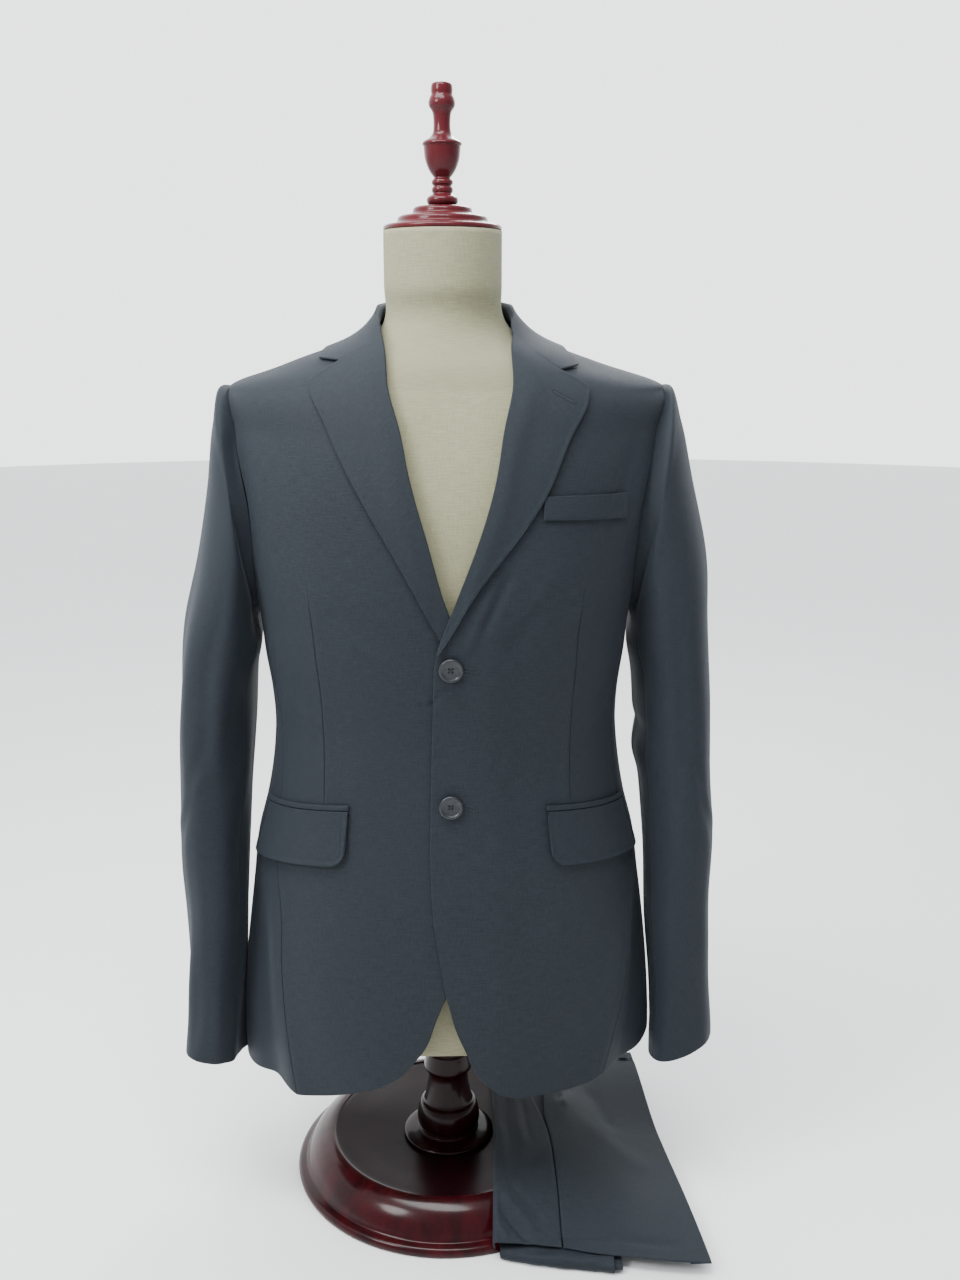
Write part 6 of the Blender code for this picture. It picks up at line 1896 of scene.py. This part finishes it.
    def wrinkle(self, x: Array, y: Array) -> Array:
        """Rise of the top layer's small folds."""
        rise, wide, long = self.swell
        total = rise * swirl(x / wide, y / long, 3)
        for start_x, start_y, end_x, end_y, rise, spread in self.folds:
            along, aside = beside(places(x, y), (start_x, start_y), (end_x, end_y))
            total = total + rise * bell(aside, spread) * between(along, 0.3)
        return total

    def face(self, x: Array, y: Array) -> Array:
        """Height of the top layer's face."""
        return self.top(x, y) + self.wrinkle(x, y)

    def sheet(self, name: str, points: Array, maps: Optional[Array] = None) -> Sheet:
        """A piece of the trousers."""
        return Sheet(name, points, self.wall, self.finishes.worsted, self.soft, maps)

    def plan(self, left: Callable, right: Callable, shares: Array, ups: Array) -> Array:
        """Plan of a band of the top leg between two long edges.

        Args:
            left: x of its left edge at a y.
            right: x of its right edge at a y.
            shares: shares of the way across.
            ups: shares of the way to the front.

        Returns:
            x and y of a grid, one row for each share to the front.
        """
        back = self.waistband[0] - SEAM / 2
        across, down = shares[None, :], ups[:, None]
        y = back + 0 * across * down
        for _ in range(5):
            x = left(y) * (1 - across) + right(y) * across
            y = back + (self.front_line.read("x", "y", x) - back) * down
        return np.array([x, y])

    def edge(self, name: str) -> Callable:
        """A long edge as a function of y."""
        table = self.pile if name in self.pile.columns else self.side_seam
        gap = {"seam": SEAM / 2, "pocket": -SEAM / 2}.get(name, 0.0)
        return lambda y: table.read("y", name, y) + gap

    def top_leg(self) -> list[Sheet]:
        """The upper leg's front panel, rolled over the pile's left edge, and its back panel."""
        ups = np.linspace(1.0, 0.0, 150)
        sheets = []
        for name, left, right, columns in (("front_panel_of_top_leg", "left", "pocket", 50),
                                           ("back_panel_of_top_leg", "seam", "right", 90)):
            x, y = self.plan(self.edge(left), self.edge(right), np.linspace(0.0, 1.0, columns), ups)
            points = places(x, y, self.face(x, y))
            edges = to_edge(points)
            points[..., 2] -= self.seam_sink * bell(edges["last" if left == "left" else "first"], 0.0014)
            if left == "left":
                turn, inset = np.radians(np.linspace(150.0, 15.0, 10)), np.array([self.edge_inset, 0.0, 0.0])
                bend = places(-self.edge_radius * np.sin(turn), 0.0, -self.edge_radius * (1 - np.cos(turn)))
                points = np.concatenate([points[:, :1] + bend + inset,
                                         points + inset * bell(edges["first"], 0.004)[..., None]], 1)
            sheets.append(self.sheet(name, points, points[..., :2] + (3.0, 0.0)))
        return sheets

    def under_leg(self) -> Sheet:
        """The other leg's edge, which shows along the right and at the front corner."""
        right, many = self.edge("right"), 14
        x, y = self.plan(right, right, np.linspace(0.0, 1.0, many), np.linspace(1.0, 0.0, 120))
        x = x - np.linspace(*self.under_edge, many)
        height = self.top(x, y) - self.wall - self.under_gap
        return self.sheet("edge_of_under_leg", places(x, y + self.under_step, height))

    def layers(self) -> list[Piece]:
        """The hidden folds as flattened tubes, one on another."""
        made, count = [], len(self.layer_insets)
        for layer, inset in enumerate(self.layer_insets):
            rings = []
            for y in np.linspace(self.layer_front + inset, self.pile_back - inset, 90):
                left = float(self.pile.read("y", "left", y)) + inset
                right = float(self.pile.read("y", "right", y)) - 0.005 - inset
                x = left + (right - left) * (0.5 - 0.5 * np.cos(np.linspace(0.0, math.pi, 46)))
                under = self.height.read("distance", "under", np.hypot(x, y))
                above = self.top(x, y + 0 * x) - self.wall - self.layer_under
                gaps = min(y - self.layer_front, self.pile_back - y), np.minimum(x - left, right - x)
                end, aside = (1 - np.maximum(0.0, 1 - gap / reach) ** 2 for gap, reach in zip(gaps, self.layer_ends))
                half = (above - under) / count / 2 * self.layer_fill * math.sqrt(max(end, 0.02))
                half = half * np.sqrt(np.maximum(aside, 0.0))
                middle = under + (above - under) * (layer + 0.5) / count
                rings.append(np.vstack([places(x, y, middle - half), places(x, y, middle + half)[-2:0:-1]]))
            made.append(closed_loft(f"folded_leg_layer_{layer + 1}", np.array(rings)[:, ::-1],
                                    self.finishes.worsted))
        return made

    def band(self) -> Sheet:
        """The waistband, rolled down over the pile's back end."""
        near, far = self.waistband
        radius, straight = 0.0052, far - 0.004
        turns = np.radians(np.linspace(12.0, 90.0, 8))
        profile = [(y, 0.0) for y in np.linspace(near, straight, 22)]
        profile += [(straight + radius * math.sin(turn), -radius * (1 - math.cos(turn))) for turn in turns]
        profile += [(far + 0.0012, -radius - fall) for fall in (0.003, 0.006, 0.0088)]
        rows = []
        for y, fall in profile:
            edge_y = min(y, self.pile_back)
            x = np.linspace(*(float(self.pile.read("y", name, edge_y)) for name in ("left", "right")), 110)
            rows.append(places(x, y, self.face(x, edge_y + 0 * x) + fall))
        points = np.array(rows)
        points[..., 2] -= 0.0006 * bell(to_edge(points)["low"] - 0.0032, 0.0012)
        return self.sheet("rolled_waistband", points)

    def loop(self, word: str, middle: float) -> Sheet:
        """A belt loop across the waistband."""
        near, far = self.waistband
        y = np.linspace(near + 0.001, far - 0.004, 24)[:, None]
        x = np.linspace(middle - self.loop_half, middle + self.loop_half, 12)[None, :]
        arch = self.loop_rise[0] * np.sin(math.pi * (y - near) / (far - near))
        crown = self.loop_rise[1] * (1 - ((x - middle) / self.loop_half) ** 2)
        z = self.face(*np.broadcast_arrays(x, y)) + self.trim_wall + LAY + arch + crown
        return Sheet(f"{word}_belt_loop", places(x, y, z), self.trim_wall, self.finishes.worsted, self.loop_soft)

    def leg_roll(self, name: str, start: float, stop: float, flat: float, depth: float, step: float) -> Sheet:
        """The under leg folded back on itself in front of the pile.

        Args:
            name: the piece's name.
            start: x of its left end.
            stop: x of its right end.
            flat: its height, as a share of the section's.
            depth: its depth, as a share of the section's.
            step: how far it lies behind the fold's nose.

        Returns:
            The sheet.
        """
        section, middle = np.array(self.roll_section), 0.0064
        along = running(np.hypot(*np.diff(section, axis=0).T))
        back, high = smooth(along, section, np.linspace(0.0, along[-1], 40)).T[..., None]
        x = np.linspace(start, stop, 90)
        swell = 0.0007 * swirl(x[None, :] / 0.02, back / 0.01, 9) * (flat == 1.0)
        y = self.roll_nose.read("x", "y", x) + step + back * depth - swell * bell(back, 0.004)
        return self.sheet(name, places(x, y, middle + (high - middle) * flat + swell * ease(high, 0.008, 0.012)))

    def build(self) -> None:
        """Build and fit the trousers."""
        (front, back), layers, top_layer = self.top_leg(), self.layers(), "folded_leg_layer_3"
        for piece in layers:
            fit(piece, "charcoal_suiting", "trousers_inner_fold")
        for sheet, node, under in (
                (front, "trousers_front_panel", top_layer), (back, "trousers_back_panel", top_layer),
                (self.under_leg(), "trousers_under_leg", top_layer), (self.band(), "waistband", top_layer),
                *((self.loop(word, middle), f"belt_loop_{word}", "rolled_waistband")
                  for word, middle in self.belt_loops),
                (self.leg_roll("front_fold_of_under_leg", 0.05, 0.161, 1.0, 1.0, 0.0),
                 "trousers_leg_fold", "domed_foot"),
                (self.leg_roll("inner_edge_of_under_leg", 0.062, 0.169, 0.56, 0.9, 0.003),
                 "trousers_leg_fold_inner", "front_fold_of_under_leg")):
            fit_cloth(sheet, node, Held.FOLDED, under)


@dataclass
class Studio:
    """Pale floor, soft light and the camera."""

    finishes: Finishes
    camera_place: tuple[float, float, float] = (0.0, -1.25, 0.895)
    pitch_down: float = 13.67
    yaw_left: float = -1.6
    lens: float = 35.94
    sensor: float = 36.0
    world_colour: tuple = (0.97, 0.99, 1.0, 1.0)
    world_strength: Pair = (0.8, 2.82)  # before the form and behind it
    floor_section: Pairs = ((8.0, -0.012), (8.0, -0.002), (7.99, -0.0001))
    world_turn: Pair = (0.8, 0.5)  # how fast it turns from one to the other, and its share at the middle
    dim_side: float = 0.4
    dim_from: Pair = (0.5, 2.5)  # where the wearer's left side starts to dim, and how fast
    # Name, place, aim, width, depth, power in watts.
    lamps: Pairs = (
        ("ceiling_lamp", (-0.3, -0.55, 2.0), (0.0, 0.0, 0.6), 1.6, 0.55, 48.0),
        ("front_lamp", (-1.4, -1.2, 1.75), (0.0, 0.0, 0.75), 0.8, 0.8, 42.0),
        ("rear_lamp", (0.4, 1.6, 1.9), (0.0, 0.0, 0.65), 0.6, 0.6, 20.0))

    def lamp(self, name: str, place: tuple, aim: tuple, width: float, depth: float, power: float) -> None:
        """One soft light aimed at a point."""
        light = bpy.data.lights.new(name, "AREA")
        light.shape, light.size, light.size_y, light.energy = "ELLIPSE", width, depth, power
        made = bpy.data.objects.new(name, light)
        made.location = place
        made.rotation_mode = "QUATERNION"
        made.rotation_quaternion = (Vector(aim) - Vector(place)).to_track_quat("-Z", "Y")
        bpy.context.scene.collection.objects.link(made)

    def floor(self) -> None:
        """A wide pale floor."""
        lathed("pale_floor_disc", self.floor_section, self.finishes.floor, 64)

    def camera(self) -> None:
        """The camera."""
        lens = bpy.data.cameras.new("camera")
        lens.lens, lens.sensor_width = self.lens, self.sensor
        made = bpy.data.objects.new("camera", lens)
        made.location = self.camera_place
        made.rotation_euler = (math.radians(90.0 - self.pitch_down), 0.0, math.radians(self.yaw_left))
        bpy.context.scene.collection.objects.link(made)
        bpy.context.scene.camera = made

    def build(self) -> None:
        """Set up the studio."""
        bench = Bench(bpy.data.worlds.new("soft_room"), "Background")
        behind, aside = bench.axes(bench.add("ShaderNodeTexCoord", {}, {}, "Generated"), "YX")
        (rate, middle), (start, pace), (near, far) = self.world_turn, self.dim_from, self.world_strength
        behind, aside = (behind * rate + middle).clipped(), ((aside - start) * pace).clipped()
        bpy.context.scene.world = bench.dress(
            Color=self.world_colour, Strength=(behind * (far - near) + near) * (1.0 - aside * self.dim_side))
        for lamp in self.lamps:
            self.lamp(*lamp)
        self.floor()
        self.camera()


def main() -> None:
    """Build the suit, its form and the studio."""
    logging.basicConfig(level=logging.INFO, format="%(message)s")
    for item in list(bpy.data.objects):
        bpy.data.objects.remove(item, do_unlink=True)
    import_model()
    finishes = Finishes()
    Studio(finishes).build()
    stitcher = Stitcher(finishes.thread)
    body = WornBody()
    jacket = Jacket(body, finishes)
    jacket.build()
    sleeves = Sleeves(body, jacket)
    sleeves.build()
    Buttons(body, sleeves, finishes, stitcher).build()
    DressForm(body, finishes).build()
    Stand(finishes).build()
    Trousers(finishes).build()
    bpy.context.view_layer.update()


if __name__ == "__main__":
    main()
